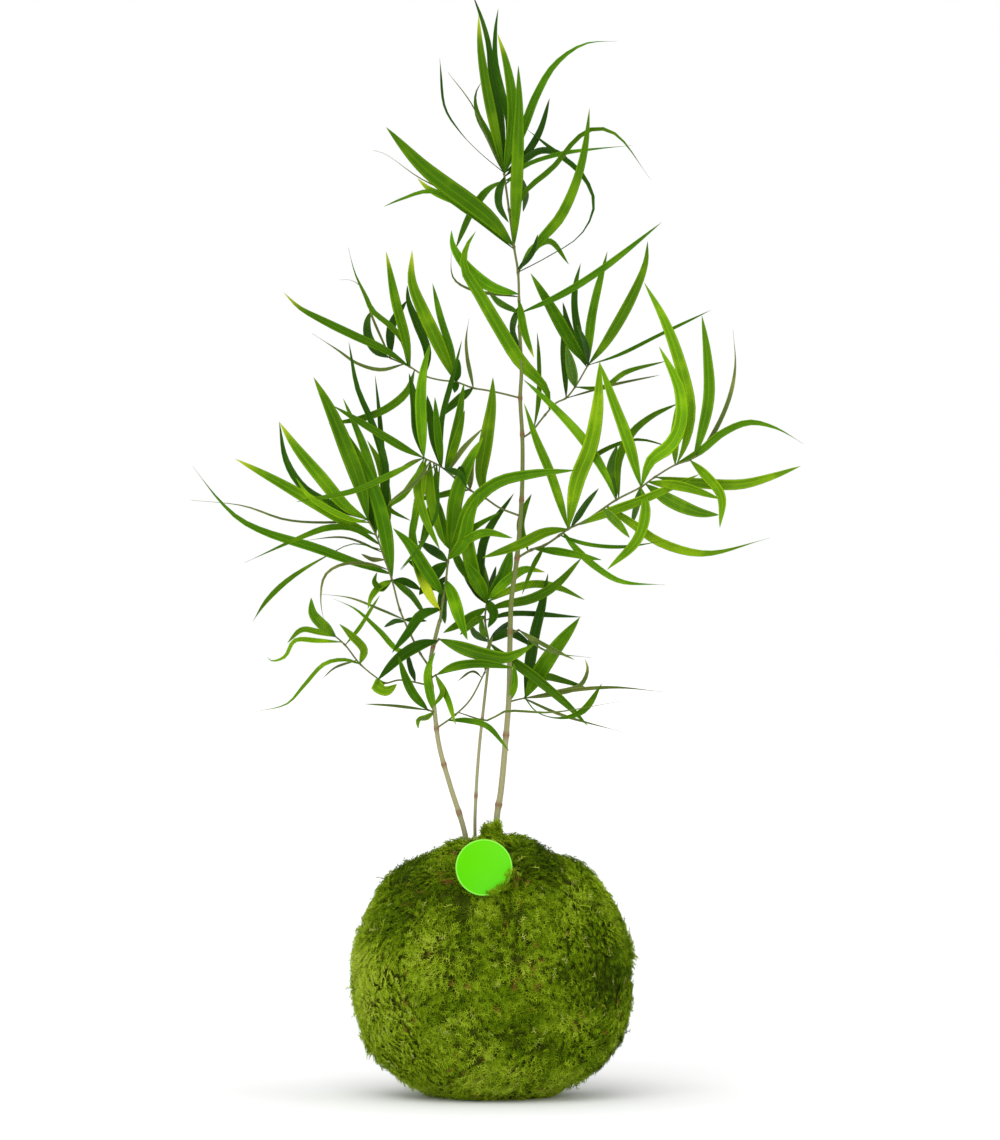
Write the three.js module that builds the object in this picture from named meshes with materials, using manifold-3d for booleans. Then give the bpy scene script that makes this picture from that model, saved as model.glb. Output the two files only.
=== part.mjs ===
// A kokedama: a ball of soil wrapped in moss, resting on a small flat spot, with three slender
// canes of sickle-leaved asparagus growing out of its crown and a round tag on a pick in front.
// Millimetres, +Z up, +Y away from the viewer. The origin is the middle of the flat spot.

import * as THREE from 'three';
import { mergeVertices } from 'three/addons/utils/BufferGeometryUtils.js';
import Module from 'manifold-3d';

const wasm = await Module();
wasm.setup();

// ---------------------------------------------------------------- driving dimensions

const SEATING_GAP = 0.3; // clearance between pieces that touch

// the ball of soil and moss
const BALL_MIDDLE = 58; // height of the ball's middle over the ground
const BALL_RADIUS = 66.5; // at the middle, to the hollows between the cushions of moss
const BALL_TOP = 69; // from the middle to the crown, likewise
const BALL_BOTTOM = 63.5; // from the middle down, before the flat spot is cut
const BALL_SQUARENESS = 2.1; // 2 is an ellipse; more gives the fuller shoulders of the ball
const MOSS_FACETS = 12; // how finely the moss is divided
const SOIL_FACETS = 4; // and the soil, likewise
const MOSS_CUSHIONS = 250; // rounded cushions of moss over the whole ball
const CUSHION_HEIGHT = 3.2;
const CUSHION_JITTER = 0.35; // of the spacing between cushions
const MOSS_WALL = 9; // thickness of the moss over the soil
const CUSHION_LEAST = 0.6; // the lowest cushion's height, as a share of the highest
const CROWN_X = -5; // middle of the opening that the canes leave by
const CROWN_RADIUS = 14;
const CROWN_SIDES = 20;
const CROWN_SINK = 1; // the soil there lies this far below the ball's round

// the round tag
const TAG_X = -4.4;
const TAG_Z = 116.8;
const TAG_Y = -55.5;
const TAG_RADIUS = 14;
const TAG_THICKNESS = 1.6;
const TAG_LEAN = 8; // degrees from upright, its top leaning back
const TAG_SIDES = 32;
const PICK_RADIUS = 1.1;
const PICK_LENGTH = 30;
const PICK_SLOPE = 35; // degrees below level, into the ball
const PICK_SIDES = 8;

// stems and blades
const CANE_SIDES = 8;
const TWIG_SIDES = 6;
const CANE_STEP = 16; // mm between the rings of a cane
const TWIG_STEP = 13;
const BLADE_THICKNESS = 1.0; // over the midrib
const BLADE_STATIONS = [0, 0.14, 0.38, 0.65, 0.86]; // the tip is the last
const NARROW_STATIONS = [0, 0.2, 0.6];
const NARROW_BLADE = 3.6; // a blade narrower than this takes fewer stations
const PETIOLE_WIDTH = 1.1;
const BLADE_LEAN = 0.8; // below 1, the widest place lies nearer the foot
const BLADE_FULLNESS = 0.75; // below 1, the outline is fuller than a sine

// where the plant's paths were read from: the eye's distance before the origin, and its height
const EYE_DISTANCE = 3200;
const EYE_HEIGHT = 263;

// ---------------------------------------------------------------- the plant, as read from it

// Canes: points of the stem from inside the soil up, and its radius at the foot and at the top.
const CANES = {
  cane_tall: {
    colour: 0x9a8a5c,
    radius: [1.8, 0.9],
    points: [
      [1, 3, 96], [1.8, 4, 138], [4, 4, 153], [6.5, 4, 180], [8, 3, 200], [8.5, 2, 228],
      [9.2, 2, 248], [12, 2, 269], [14.3, 3, 298], [14.8, 3.5, 318], [14.6, 4, 331],
      [13.6, 4, 349], [14.2, 4, 362], [13.2, 3, 385],
    ],
  },
  cane_left: {
    colour: 0x8d8a58,
    radius: [1.55, 1.0],
    points: [
      [-9, -4, 96], [-14, -6, 131], [-21.5, -7, 155.5], [-27, -8, 175.5],
      [-29.5, -8, 195.5], [-31.5, -8, 215], [-28.5, -9, 230.5], [-26.5, -9, 238],
    ],
  },
  cane_middle: {
    colour: 0x85875e,
    radius: [0.95, 0.75],
    points: [
      [-6.5, 6, 98], [-9, 7, 131], [-8.4, 8, 153], [-6.8, 9, 175], [-4.3, 10, 198], [-2.5, 10, 214],
    ],
  },
};

// Sprays: each is a green side stem with its leaves, in the order they leave the canes.
// A stem's points run from the middle of the cane outwards. A leaf's row gives where it leaves the
// stem (a point's number, and a fraction towards the next), the blade's width, its turn from facing
// the viewer in degrees, how far its tip lies beyond (+) or before (-) its foot, and then the x and
// z of the places that it passes, up to its tip.
const SPRAYS = {
  crown: {
    cane: 'cane_tall',
    radius: [0.95, 0.8],
    points: [
      [13.2, 3, 384.6], [13, 2, 398], [12.5, 2, 412], [10.5, 1, 424.5], [8, 0.5, 443], [5.5, 0, 461.5],
    ],
    leaves: [
      [5, 5.2, 10, -12, 1, 482.5, -3, 502, -6.3, 524, -7.3, 541],
      [5, 4, 20, 16, 3.5, 490, -0.7, 509.5, -2.3, 525, -5.3, 537, -10.3, 551],
      [5, 4.2, 30, 32, 7.5, 487, 4.3, 500, 0.8, 518, 1, 533, 2.6, 544],
      [5, 5.5, 10, -30, 9.6, 487, 9, 502, 6.4, 517, 2.2, 531.5],
      [5, 3.6, 30, 42, -2.7, 480, -8, 491, -8.8, 501, -4.2, 509.5],
      [5, 3.5, 60, -24, -6.5, 471.5, -17, 482.5, -24.5, 494.5, -26.6, 519],
      [5, 2.5, 60, 26, -3.5, 480, -10.7, 495.7, -22.7, 512],
      [5, 4.5, 20, -14, 15, 484, 21.5, 500.5, 31, 516, 45.5, 526, 62.5, 527.5],
      [5, 3.8, 20, 52, 14.5, 469, 23, 482, 28.3, 499],
      [4.7, 4, 40, 30, 16, 465.5, 34, 471.5, 49, 473.5, 70, 475.3],
      [4.9, 4, 25, 46, 15, 468, 24, 473, 34, 471, 40.5, 464],
      [3.6, 4, 40, -20, 15.5, 452, 30, 465, 42.3, 479.5, 51, 484, 61.5, 481, 79, 458],
      [4.8, 4.5, 30, 34, -2, 453, -10, 442.5, -18.8, 423.5],
      [4.9, 4, 0, -44, 3, 452, 3.2, 445, 8, 436.5],
      [4.8, 4, 20, 50, 12, 459, 16.3, 451, 15, 442],
      [3, 6.3, 0, -26, 11.5, 448, 12.6, 475, 13.1, 498, 12.7, 515.5],
      [3, 8.8, 5, -18, -0.7, 437.5, -12.3, 447, -24, 455.5, -36.5, 466, -53.5, 484.5],
      [3, 6, 20, 22, -1.5, 438, -14, 445.5, -31.5, 453, -38, 459],
      [3.1, 3.5, 55, 44, -14, 447, -37, 459, -54, 471, -60.5, 473],
      [2.9, 3.5, 35, 12, -12, 441, -30.5, 452, -46.5, 448, -55, 444.5],
      [2, 5.2, 15, -24, 24, 428.5, 33, 439, 41, 456, 45.8, 474, 48.3, 494],
      [2, 3.5, 40, 26, 26, 419, 44, 431, 50.2, 446, 44.5, 460, 30, 472.5, 16.2, 484],
      [2.1, 3, 20, -34, 19, 421, 22.5, 431],
      [2, 3.6, 20, 34, 20, 424, 28.5, 427.5, 38, 415.7],
      [1.2, 4.8, 15, -24, -1.5, 404.5, -13, 414, -20, 425, -20.8, 433],
      [1.1, 3.5, 45, 22, -11.5, 403, -20, 409, -21, 423],
      [0.5, 5, 15, -14, 33.5, 400.5, 53.5, 413, 84.5, 437],
      [0.5, 4, 30, 30, 3.5, 396, -3, 403],
      [1, 4, 0, -26, 15.5, 383, 20.5, 369],
      [0.8, 3.5, 20, 30, 10, 383, 13.5, 374],
    ],
  },
  right_upper: {
    cane: 'cane_tall',
    radius: [0.75, 0.6],
    points: [
      [14.6, 4, 329], [19, 7, 332], [26, 13, 340.5], [31.5, 17, 346.5], [36.5, 21, 349],
      [41, 25, 354.5], [47.5, 31, 365.5],
    ],
    leaves: [
      [6, 6.5, 10, -36, 40, 375, 30.5, 391, 18.7, 411.5],
      [6, 4.5, 30, 18, 43.5, 376, 40.3, 394, 41, 406, 43.8, 416.5],
      [5.9, 4.5, 30, 40, 41.5, 373, 37, 386, 34.8, 397],
      [6, 5, 20, -22, 48.3, 385, 51.3, 401, 57.2, 422.5],
      [6, 5.5, 10, 6, 56, 376.5, 69, 399, 76, 416, 77.3, 427.5],
      [6, 3.5, 40, -18, 62, 370.5, 83.5, 381, 109, 393],
      [6, 3.5, 20, -34, 46.5, 374, 42, 385.5],
      [5, 5.5, 0, -42, 39, 364, 36.5, 375.5],
      [5, 3.8, 25, 22, 55, 354.5, 66, 362, 86.5, 367.5],
      [4, 4, 30, 30, 35, 370.5, 35.5, 393],
      [4, 3.5, 40, -16, 58.5, 355.5, 83.5, 360.5],
      [2.4, 7, 10, -40, 26.5, 353, 13.5, 367, 3.5, 383, -7, 401, -14.5, 414, -13.5, 424, -8.5, 432.5],
      [1.2, 3.2, 40, 26, 22.5, 350, 22.5, 373, 22, 382],
    ],
  },
  right_main: {
    cane: 'cane_tall',
    radius: [0.95, 0.6],
    points: [
      [12, 2, 269], [19, 0, 273], [26, -3, 275.5], [33.5, -7, 280.5], [37.5, -9, 283.5],
      [46, -13, 287.5], [61.5, -18, 298], [74, -22, 304.5], [81, -24, 309.5], [92, -27, 316],
      [98.5, -29, 318], [102, -30, 320.5],
    ],
    leaves: [
      [4, 5, 20, -14, 28.5, 311, 21.5, 328, 15.5, 346.5],
      [4, 8, 5, -20, 42, 308, 48.3, 324, 52, 343, 53.5, 368],
      [4.2, 3.5, 20, -46, 46, 295.5, 53, 304],
      [4.4, 5, 20, -26, 60, 293, 76, 299, 103.5, 311],
      [4, 5.5, 15, -22, 26, 281.5, 13.5, 275.5, -5.5, 269],
      [6, 5, 15, 8, 57, 309, 46.5, 326, 31, 343.5, 15, 358.5],
      [6, 5.5, 10, 48, 59, 313, 62, 325.5],
      [6.1, 4.5, 25, 26, 62.5, 318, 69, 331.5, 79, 340, 93, 346.5],
      [4.05, 3.8, 35, 22, 41.5, 300, 47, 316.5, 55, 323, 72, 328.5, 89, 324.5],
      [7, 6, 15, -30, 67, 328, 60, 347, 53, 367.5],
      [7, 7, 10, -20, 79, 318, 88, 325, 93.3, 335, 93.3, 352, 83, 375],
      [7, 5.5, 10, -22, 76.5, 294, 72.5, 278.5, 57, 263],
      [7, 3.8, 20, 34, 72, 295, 69.5, 286],
      [7.3, 6.8, 10, 40, 90, 297.2, 103, 291.9, 113, 290.5],
      [7.5, 5, 20, -34, 95, 305, 114, 298.5],
      [8, 5.5, 15, -10, 100, 307, 123.5, 306, 138.5, 309.5, 154, 315],
      [9, 6.5, 10, 12, 96.5, 328, 98, 343, 94.5, 362, 86, 387, 75.5, 407],
      [8.9, 4.8, 20, 44, 90.5, 328, 92.5, 348],
      [9, 5, 20, -16, 103, 322.3, 115, 332, 128, 337, 141, 334.3, 155.5, 326],
      [10.5, 5.8, 10, -24, 104, 331, 107.8, 350, 107, 371, 104.5, 390.5],
      [11, 3.8, 35, 14, 108.5, 329, 117.5, 348, 121, 365, 120, 383.5],
      [10, 5, 15, -30, 106, 311, 114.3, 300, 113.5, 284],
      [5.7, 5, 20, 24, 69, 287, 84, 277, 106, 271.5, 138.5, 279],
      [5.6, 4.5, 0, -48, 63.5, 285, 68.5, 279],
      [3, 3.8, 35, -26, 46, 276.5, 64, 274.8, 88.5, 278],
      [3.4, 4.8, 20, -12, 42, 273.5, 52, 264.5, 64, 257.5, 86.5, 255.5],
      [1.2, 4.2, 20, -20, 33, 272.5, 54.5, 268],
      [2, 2.8, 30, -16, 20, 264, 14.5, 250.5],
      [0.8, 4.2, 20, 26, 13.5, 284, 15.5, 293.5, 19.3, 301],
    ],
  },
  left_upper: {
    cane: 'cane_tall',
    radius: [0.75, 0.6],
    points: [
      [13.6, 4, 349], [3.5, 7, 351.5], [-4, 9, 353], [-10, 11, 354], [-18.5, 14, 357],
      [-26.5, 17, 358], [-34, 20, 360], [-41.5, 23, 364.5], [-51.5, 26, 369],
    ],
    leaves: [
      [7, 5.2, 15, -10, -54, 372.8, -70, 380.2, -86, 388, -97, 394.2, -104.9, 402],
      [7.3, 3.5, 40, 20, -56, 362.8, -68, 366, -78, 373, -90.7, 381.5],
      [7, 6.5, 10, -26, -43.8, 378, -49, 398, -53.5, 422.5],
      [7.1, 4, 25, 12, -45, 377, -51.5, 384.8, -60.5, 392.5, -64, 400, -69, 411, -72.5, 424.5],
      [8, 2.8, 30, 30, -60, 388, -66, 404.5, -71.5, 408, -77, 408],
      [8, 4.8, 10, 44, -58, 372, -62.6, 380, -62.8, 388, -60.5, 393],
      [8, 4.8, 20, 34, -51, 385, -43, 398],
      [6, 4.8, 20, 22, -33.2, 372, -38.5, 387, -42.3, 397, -43, 405.5],
      [4, 8, 5, -20, -28.3, 378, -35, 392, -40.6, 407, -40.5, 423],
      [4, 4.8, 25, 16, -21.5, 372, -26.7, 390, -30.3, 406.5],
      [4, 5.5, 0, -46, -19.5, 363, -17.5, 369],
      [3, 3.5, 35, 28, -13, 368, -13.6, 378, -12, 389],
      [3, 4.5, 15, -24, -20, 345.5, -26.5, 339],
      [6.7, 4.8, 15, -28, -43, 352, -53, 343.5, -66, 338.5, -82.5, 336],
    ],
  },
  front_left: {
    cane: 'cane_tall',
    radius: [0.8, 0.6],
    points: [
      [13.6, 3, 290], [3.5, -2, 294], [-4, -8, 299], [-11.5, -14, 303], [-19, -20, 309],
      [-26.5, -26, 315], [-34.5, -32, 319],
    ],
    leaves: [
      [6, 5, 15, -22, -44, 323.5, -58, 331.8, -80.3, 345.3],
      [6, 5.5, 20, 26, -38, 332, -39.7, 348, -42, 361.5],
      [6, 5.8, 10, -16, -35.8, 335, -36.3, 352, -34.5, 365, -31.3, 376.5],
      [6, 4, 35, -14, -52.5, 309.5, -70, 302, -98.5, 297],
      [6, 4.8, 20, -20, -37.5, 306, -34, 290, -26.5, 273],
      [5, 4.8, 25, 36, -30.5, 333, -33, 350.5],
      [4.9, 4.2, 15, -44, -28, 334, -29, 349.5],
      [5, 3.5, 35, -18, -26, 338, -22, 354, -15.5, 378],
      [4.7, 4.8, 20, 24, -18, 336, -14.5, 356.5],
      [4.6, 4.2, 15, -40, -17.5, 330.5, -14, 343],
      [4.5, 3, 30, -22, -15, 324, -5, 334],
      [4.8, 3.5, 20, -36, -16.5, 311, -13, 304],
      [5, 3.5, 40, 20, -29, 293, -34, 278, -46.5, 263],
      [2, 7, 5, -14, -6, 310, -3.5, 328, -0.8, 346, 0, 359.5],
      [3, 4.8, 15, -6, -11.5, 318, -5, 329],
      [5.9, 4.8, 20, 18, -35, 306, -38.5, 290, -40.5, 274],
    ],
  },
  left_top: {
    cane: 'cane_left',
    radius: [1.05, 0.7],
    points: [
      [-26.5, -9, 237.2], [-25, -9, 248], [-23.5, -10, 258], [-22.5, -10, 267], [-21.5, -10.5, 273],
    ],
    leaves: [
      [4, 7.5, 10, -18, -20.5, 286, -18.5, 300, -13, 315, -4.8, 329.5],
      [3.2, 6.5, 15, -26, -17.5, 281, -11, 296, 2, 307, 20, 311.3, 42, 313],
      [3.8, 3.8, 30, -22, -14, 281.5, 3.5, 292],
      [3.5, 4.8, 20, -34, -15, 277, -4, 282, 10, 279],
      [0.4, 5.5, 10, -22, -30.3, 247, -36.2, 261, -41.5, 275.5],
      [2, 6, 10, -24, -20, 250, -16, 238, -12.7, 228],
      [1.9, 3.8, 20, 24, -25, 247, -24, 236],
    ],
  },
  left_middle: {
    cane: 'cane_left',
    radius: [0.8, 0.6],
    points: [
      [-31.4, -8, 214], [-36.5, -9, 221.5], [-41.5, -11, 231.5], [-46.5, -13, 243], [-50.5, -16, 258],
      [-54, -19, 268], [-58.5, -22, 280.5], [-62.5, -25, 288],
    ],
    leaves: [
      [4, 8, 5, -16, -53, 277, -57, 295, -64, 313, -74, 333],
      [7, 8, 5, -18, -66, 304, -73.8, 325, -81.8, 344, -89.7, 359.5],
      [6, 4.8, 20, 22, -58.5, 300, -64, 322, -75, 349],
      [5, 4.2, 25, 22, -54, 296, -54.5, 316, -61, 337, -68, 354, -72.2, 377.5],
      [5.8, 3.5, 35, 52, -55, 300, -56.5, 333, -59, 360.5],
      [5.3, 4.8, 20, 48, -54, 300, -57, 316, -63, 328],
      [7, 7.5, 10, -14, -73.4, 294.5, -86.5, 309.5, -99, 325, -106.8, 337],
      [7, 4.5, 20, 24, -82, 296, -95.5, 304.5, -103.8, 318, -107, 337.5],
      [6.8, 4.8, 15, -38, -73, 289, -91.5, 299.5, -98.5, 309],
      [6, 6.6, 15, -20, -73, 286.5, -90, 296.7, -110, 308.3, -129, 318.7],
      [7, 3, 45, 14, -84, 286.5, -104, 288, -125, 295, -151.5, 298],
      [4.3, 5.5, 15, -12, -71.5, 267.5, -88, 273.5, -114.5, 282, -127, 288.5, -137, 298, -150.3, 315],
      [5.6, 4.4, 20, -32, -70, 283.5, -82, 284, -96.5, 279, -124.5, 266.5],
      [5.4, 4, 30, 28, -70, 276, -83, 270, -102, 258, -113.5, 247, -120.3, 237],
      [5.3, 3, 40, 48, -74, 279, -96.5, 277.5],
      [4.5, 3.2, 35, -32, -63, 266, -75.5, 265.5, -83.7, 260.3, -86, 248, -83.7, 233.7],
      [1.2, 3.8, 25, 18, -47, 222.5, -57, 232.5, -69, 243.5, -80, 248.7],
      [2.6, 3.2, 30, -20, -56, 243, -71.5, 249, -86.5, 251],
    ],
  },
  left_low: {
    cane: 'cane_left',
    radius: [0.7, 0.6],
    points: [
      [-30.5, -8, 205], [-46.5, -3, 208], [-54, 1, 206.5], [-58, 4, 209], [-66.5, 10, 216],
      [-74, 16, 225.5], [-81.5, 22, 232],
    ],
    leaves: [
      [5.6, 5.2, 15, -30, -84.5, 234.5, -90, 241, -91, 249.3],
      [5.6, 4.6, 20, 20, -88, 232, -95.5, 233, -103, 226.5],
      [5.2, 4, 25, -18, -88, 227.5, -99, 227.5, -104, 219.5, -110.5, 217.5, -113, 219.5],
      [4, 4.6, 20, -28, -65, 223, -71.5, 230.5, -76.8, 236],
      [4, 4.2, 25, -14, -74, 218, -84, 216, -94.5, 205, -103, 196, -120, 192],
      [4.2, 3, 30, 30, -79, 214, -85, 209],
      [5, 3.2, 30, 26, -66.5, 235, -61.5, 243, -56.5, 250.5],
      [0.5, 3.4, 30, 22, -41.5, 214, -43, 222],
      [2, 4.6, 10, -16, -56.5, 202, -50.5, 201],
    ],
  },
  left_front: {
    cane: 'cane_left',
    radius: [0.8, 0.7],
    points: [[-30, -8.5, 224.5], [-27, -14, 228.5]],
    leaves: [
      [1, 7, 10, -16, -13, 223.5, -2, 220.5, 7, 219.5, 21, 226],
      [0.8, 7, 10, -30, -36, 225.5, -46, 219.5, -58, 207.5],
    ],
  },
  left_bud: {
    cane: 'cane_left',
    radius: [0.75, 0.65],
    points: [[-31, -8, 209], [-28.5, -13.5, 210.5]],
    leaves: [
      [1, 4.8, 15, -18, -19, 215, -6.5, 216.5, 11, 214],
      [1, 3.2, 30, -24, -25, 202, -30.5, 193.5],
      [0.9, 4.2, 20, -30, -22.5, 199, -18.5, 185.5],
    ],
  },
  left_foot: {
    cane: 'cane_left',
    radius: [0.75, 0.65],
    points: [[-29.3, -8, 192], [-32.5, -13, 193]],
    leaves: [
      [1, 4.8, 15, -28, -39.7, 200.5, -44, 209, -47.3, 220],
      [0.9, 3, 30, -22, -50, 195, -64.5, 196],
    ],
  },
  left_twig: {
    cane: 'cane_left',
    radius: [0.7, 0.6],
    points: [[-28, -8, 184], [-19, -12, 190.5], [-11.5, -15, 198], [-4, -18, 212]],
    leaves: [
      [0.6, 3.8, 20, -28, -13, 188, -2.5, 185, 8.5, 172],
      [1.2, 3, 35, -22, -2, 188, 5, 192.3, 30, 192, 64.4, 197.5],
      [3, 3.4, 20, 6, -3, 222, 0, 230],
      [2.8, 3, 50, 16, -10, 212, -17.9, 207.3],
    ],
  },
  middle_top: {
    cane: 'cane_middle',
    radius: [0.8, 0.65],
    points: [[-2.5, 10, 213.2], [-2.2, 10, 227], [-4, 10, 238], [-3, 10, 248]],
    leaves: [
      [1, 3.8, 20, 34, -9, 231, -11.5, 236],
      [1, 3.8, 20, 30, 3.5, 233, 9.5, 238],
      [1.2, 3.4, 20, -18, -5.5, 233, -6, 240],
      [3, 4.8, 20, 14, -6.5, 262, -4, 280, 10.5, 301.5],
      [3, 7.5, 5, 40, -6.5, 260.5, -7.5, 272],
      [3, 5.8, 15, 30, 5, 260.5, 9.5, 274],
      [2.5, 5.2, 20, 14, 5, 246, 19, 249, 31, 255.5, 44.5, 269.3],
      [2, 3.4, 30, 30, 8.5, 241.5, 44.5, 239.5],
      [2.9, 4.4, 20, 34, 9, 253.5, 20, 256.3, 32, 254.7, 46, 248],
      [1, 5, 20, -14, 3.5, 222, 23.5, 208, 47.5, 185],
      [3, 5, 15, 22, 7, 258, 16, 263.5, 26, 262],
    ],
  },
  right_low: {
    cane: 'cane_tall',
    radius: [0.75, 0.6],
    points: [[7.8, 3, 197], [11.5, 8, 198], [16, 14, 199]],
    leaves: [
      [2, 8, 5, -18, 21.5, 209, 30.3, 223, 43.5, 239.5],
      [2, 6, 15, 16, 17.5, 212, 20.5, 231, 24.3, 246, 27.5, 261.5],
      [2, 4, 30, -16, 38.5, 203, 60, 204.5, 86, 202],
      [2, 4.2, 15, -36, 22, 192, 33, 189, 44.5, 192.5, 55, 207],
      [1.9, 3.4, 25, 18, 33.5, 191, 64.5, 182],
      [1.9, 4.2, 20, 36, 20, 207, 26, 210, 35, 208, 47, 204],
      [2, 4, 20, 46, 30, 201.5, 43.5, 205.5, 47.2, 213, 46, 218.6],
    ],
  },
  right_bud: {
    cane: 'cane_tall',
    radius: [0.75, 0.65],
    points: [[8.6, 2, 231.5], [13, -3, 233]],
    leaves: [
      [1, 4.5, 15, -22, 26, 225.5, 41, 218],
      [1, 3, 30, -34, 26, 223, 49.5, 219],
    ],
  },
};

// ---------------------------------------------------------------- solids from geometry

function random(seed) {
  let state = seed;
  return () => {
    state = (state * 1664525 + 1013904223) % 4294967296;
    return state / 4294967296;
  };
}

function toSolid(geometry) {
  const bare = geometry.clone();
  bare.deleteAttribute('normal');
  bare.deleteAttribute('uv');
  const merged = mergeVertices(bare, 1e-3);
  return new wasm.Manifold(
    new wasm.Mesh({
      numProp: 3,
      vertProperties: new Float32Array(merged.attributes.position.array),
      triVerts: new Uint32Array(merged.index.array),
    }),
  );
}

function toMesh(name, solid, colour, roughness) {
  const result = solid.getMesh();
  const geometry = new THREE.BufferGeometry();
  geometry.setAttribute('position', new THREE.BufferAttribute(new Float32Array(result.vertProperties), 3));
  geometry.setIndex(new THREE.BufferAttribute(new Uint32Array(result.triVerts), 1));
  geometry.computeVertexNormals();
  const material = new THREE.MeshStandardMaterial({ color: colour, roughness, metalness: 0 });
  const mesh = new THREE.Mesh(geometry, material);
  mesh.name = name;
  return mesh;
}

// The main body of a solid, without the slivers that a cut can leave.
function largest(solid) {
  return solid.decompose().reduce((best, body) => (body.volume() > best.volume() ? body : best));
}

function union(solids) {
  return solids.reduce((whole, piece) => whole.add(piece));
}

// A closed skin over rings of equal count: each ring is an array of Vector3, and a last point closes
// it to a tip where one is given.
function skin(rings, tip) {
  const sides = rings[0].length;
  const positions = rings.flat().flatMap((point) => [point.x, point.y, point.z]);
  const index = [];
  for (let side = 1; side < sides - 1; side += 1) {
    index.push(0, side + 1, side);
  }
  for (let ring = 0; ring < rings.length - 1; ring += 1) {
    for (let side = 0; side < sides; side += 1) {
      const here = ring * sides + side;
      const next = ring * sides + ((side + 1) % sides);
      index.push(here, next, next + sides);
      index.push(here, next + sides, here + sides);
    }
  }
  const last = (rings.length - 1) * sides;
  if (tip) {
    positions.push(tip.x, tip.y, tip.z);
    for (let side = 0; side < sides; side += 1) {
      index.push(last + side, last + ((side + 1) % sides), last + sides);
    }
  } else {
    for (let side = 1; side < sides - 1; side += 1) {
      index.push(last, last + side, last + side + 1);
    }
  }
  const geometry = new THREE.BufferGeometry();
  geometry.setAttribute('position', new THREE.Float32BufferAttribute(positions, 3));
  geometry.setIndex(index);
  return geometry;
}

// The true place of a point that is read at x and z as seen from the eye, and lies at depth y.
function seen([x, y, z]) {
  const spread = (EYE_DISTANCE + y) / EYE_DISTANCE;
  return [x * spread, y, EYE_HEIGHT + (z - EYE_HEIGHT) * spread];
}

function curveThrough(points) {
  const vectors = points.map(([x, y, z]) => new THREE.Vector3(x, y, z));
  return new THREE.CatmullRomCurve3(vectors, false, 'centripetal');
}

// A round stem of changing radius along a curve; extra widens it and lengthens both its ends.
function stem(points, radius, sides, step, extra = 0) {
  const curve = curveThrough(points.map(seen));
  const length = curve.getLength();
  const rings = Math.max(2, Math.ceil(length / step) + 1);
  const frames = curve.computeFrenetFrames(rings - 1, false);
  const sections = [];
  for (let ring = 0; ring < rings; ring += 1) {
    const u = ring / (rings - 1);
    const centre = curve.getPointAt(u);
    const ends = ring === 0 ? -1 : Number(ring === rings - 1);
    centre.addScaledVector(curve.getTangentAt(u), ends * extra);
    const r = THREE.MathUtils.lerp(radius[0], radius[1], u) + extra;
    const section = [];
    for (let side = 0; side < sides; side += 1) {
      const angle = (2 * Math.PI * side) / sides;
      section.push(
        centre
          .clone()
          .addScaledVector(frames.normals[ring], r * Math.cos(angle))
          .addScaledVector(frames.binormals[ring], r * Math.sin(angle)),
      );
    }
    sections.push(section);
  }
  return toSolid(skin(sections));
}

// ---------------------------------------------------------------- leaves

const VIEW = new THREE.Vector3(0, 1, 0); // the way that the viewer looks

function pointOnStem(points, at) {
  const curve = curveThrough(points.map(seen));
  return curve.getPoint(at / (points.length - 1));
}

// The leaf's middle line: through its foot and the places it passes, its depth growing with the way
// that it has gone.
function leafLine(foot, depth, places) {
  const flat = [new THREE.Vector2(foot.x, foot.z)];
  for (let n = 0; n < places.length; n += 2) {
    flat.push(new THREE.Vector2(places[n], places[n + 1]));
  }
  const gone = [0];
  for (let n = 1; n < flat.length; n += 1) {
    gone.push(gone[n - 1] + flat[n].distanceTo(flat[n - 1]));
  }
  const whole = gone[gone.length - 1];
  const path = flat.map((place, n) => [place.x, foot.y + (depth * gone[n]) / whole, place.y]);
  return curveThrough([foot.toArray(), ...path.slice(1).map(seen)]);
}

function bladeWidth(u, widest) {
  const swell = Math.sin(Math.PI * u ** BLADE_LEAN) ** BLADE_FULLNESS;
  return Math.max(PETIOLE_WIDTH, widest * swell);
}

function blade(points, row) {
  const [at, widest, turn, depth, ...places] = row;
  const curve = leafLine(pointOnStem(points, at), depth, places);
  const stations = widest < NARROW_BLADE ? NARROW_STATIONS : BLADE_STATIONS;
  const roll = THREE.MathUtils.degToRad(turn);
  const rings = stations.map((u) => {
    const centre = curve.getPointAt(u);
    const along = curve.getTangentAt(u);
    const across = new THREE.Vector3().crossVectors(along, VIEW).normalize().applyAxisAngle(along, roll);
    const face = new THREE.Vector3().crossVectors(across, along);
    const half = bladeWidth(u, widest) / 2;
    const thick = BLADE_THICKNESS / 2;
    return [
      centre.clone().addScaledVector(across, -half),
      centre.clone().addScaledVector(face, thick),
      centre.clone().addScaledVector(across, half),
      centre.clone().addScaledVector(face, -thick),
    ];
  });
  return toSolid(skin(rings, curve.getPointAt(1)));
}

function spray(name) {
  const { cane, points, radius, leaves } = SPRAYS[name];
  const twig = stem(points, radius, TWIG_SIDES, TWIG_STEP);
  const whole = union([twig, ...leaves.map((row) => blade(points, row))]);
  return largest(whole.subtract(caneSolid(cane, SEATING_GAP)));
}

function caneSolid(name, extra = 0) {
  const { points, radius } = CANES[name];
  return stem(points, radius, CANE_SIDES, CANE_STEP, extra);
}

// ---------------------------------------------------------------- the ball

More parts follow.
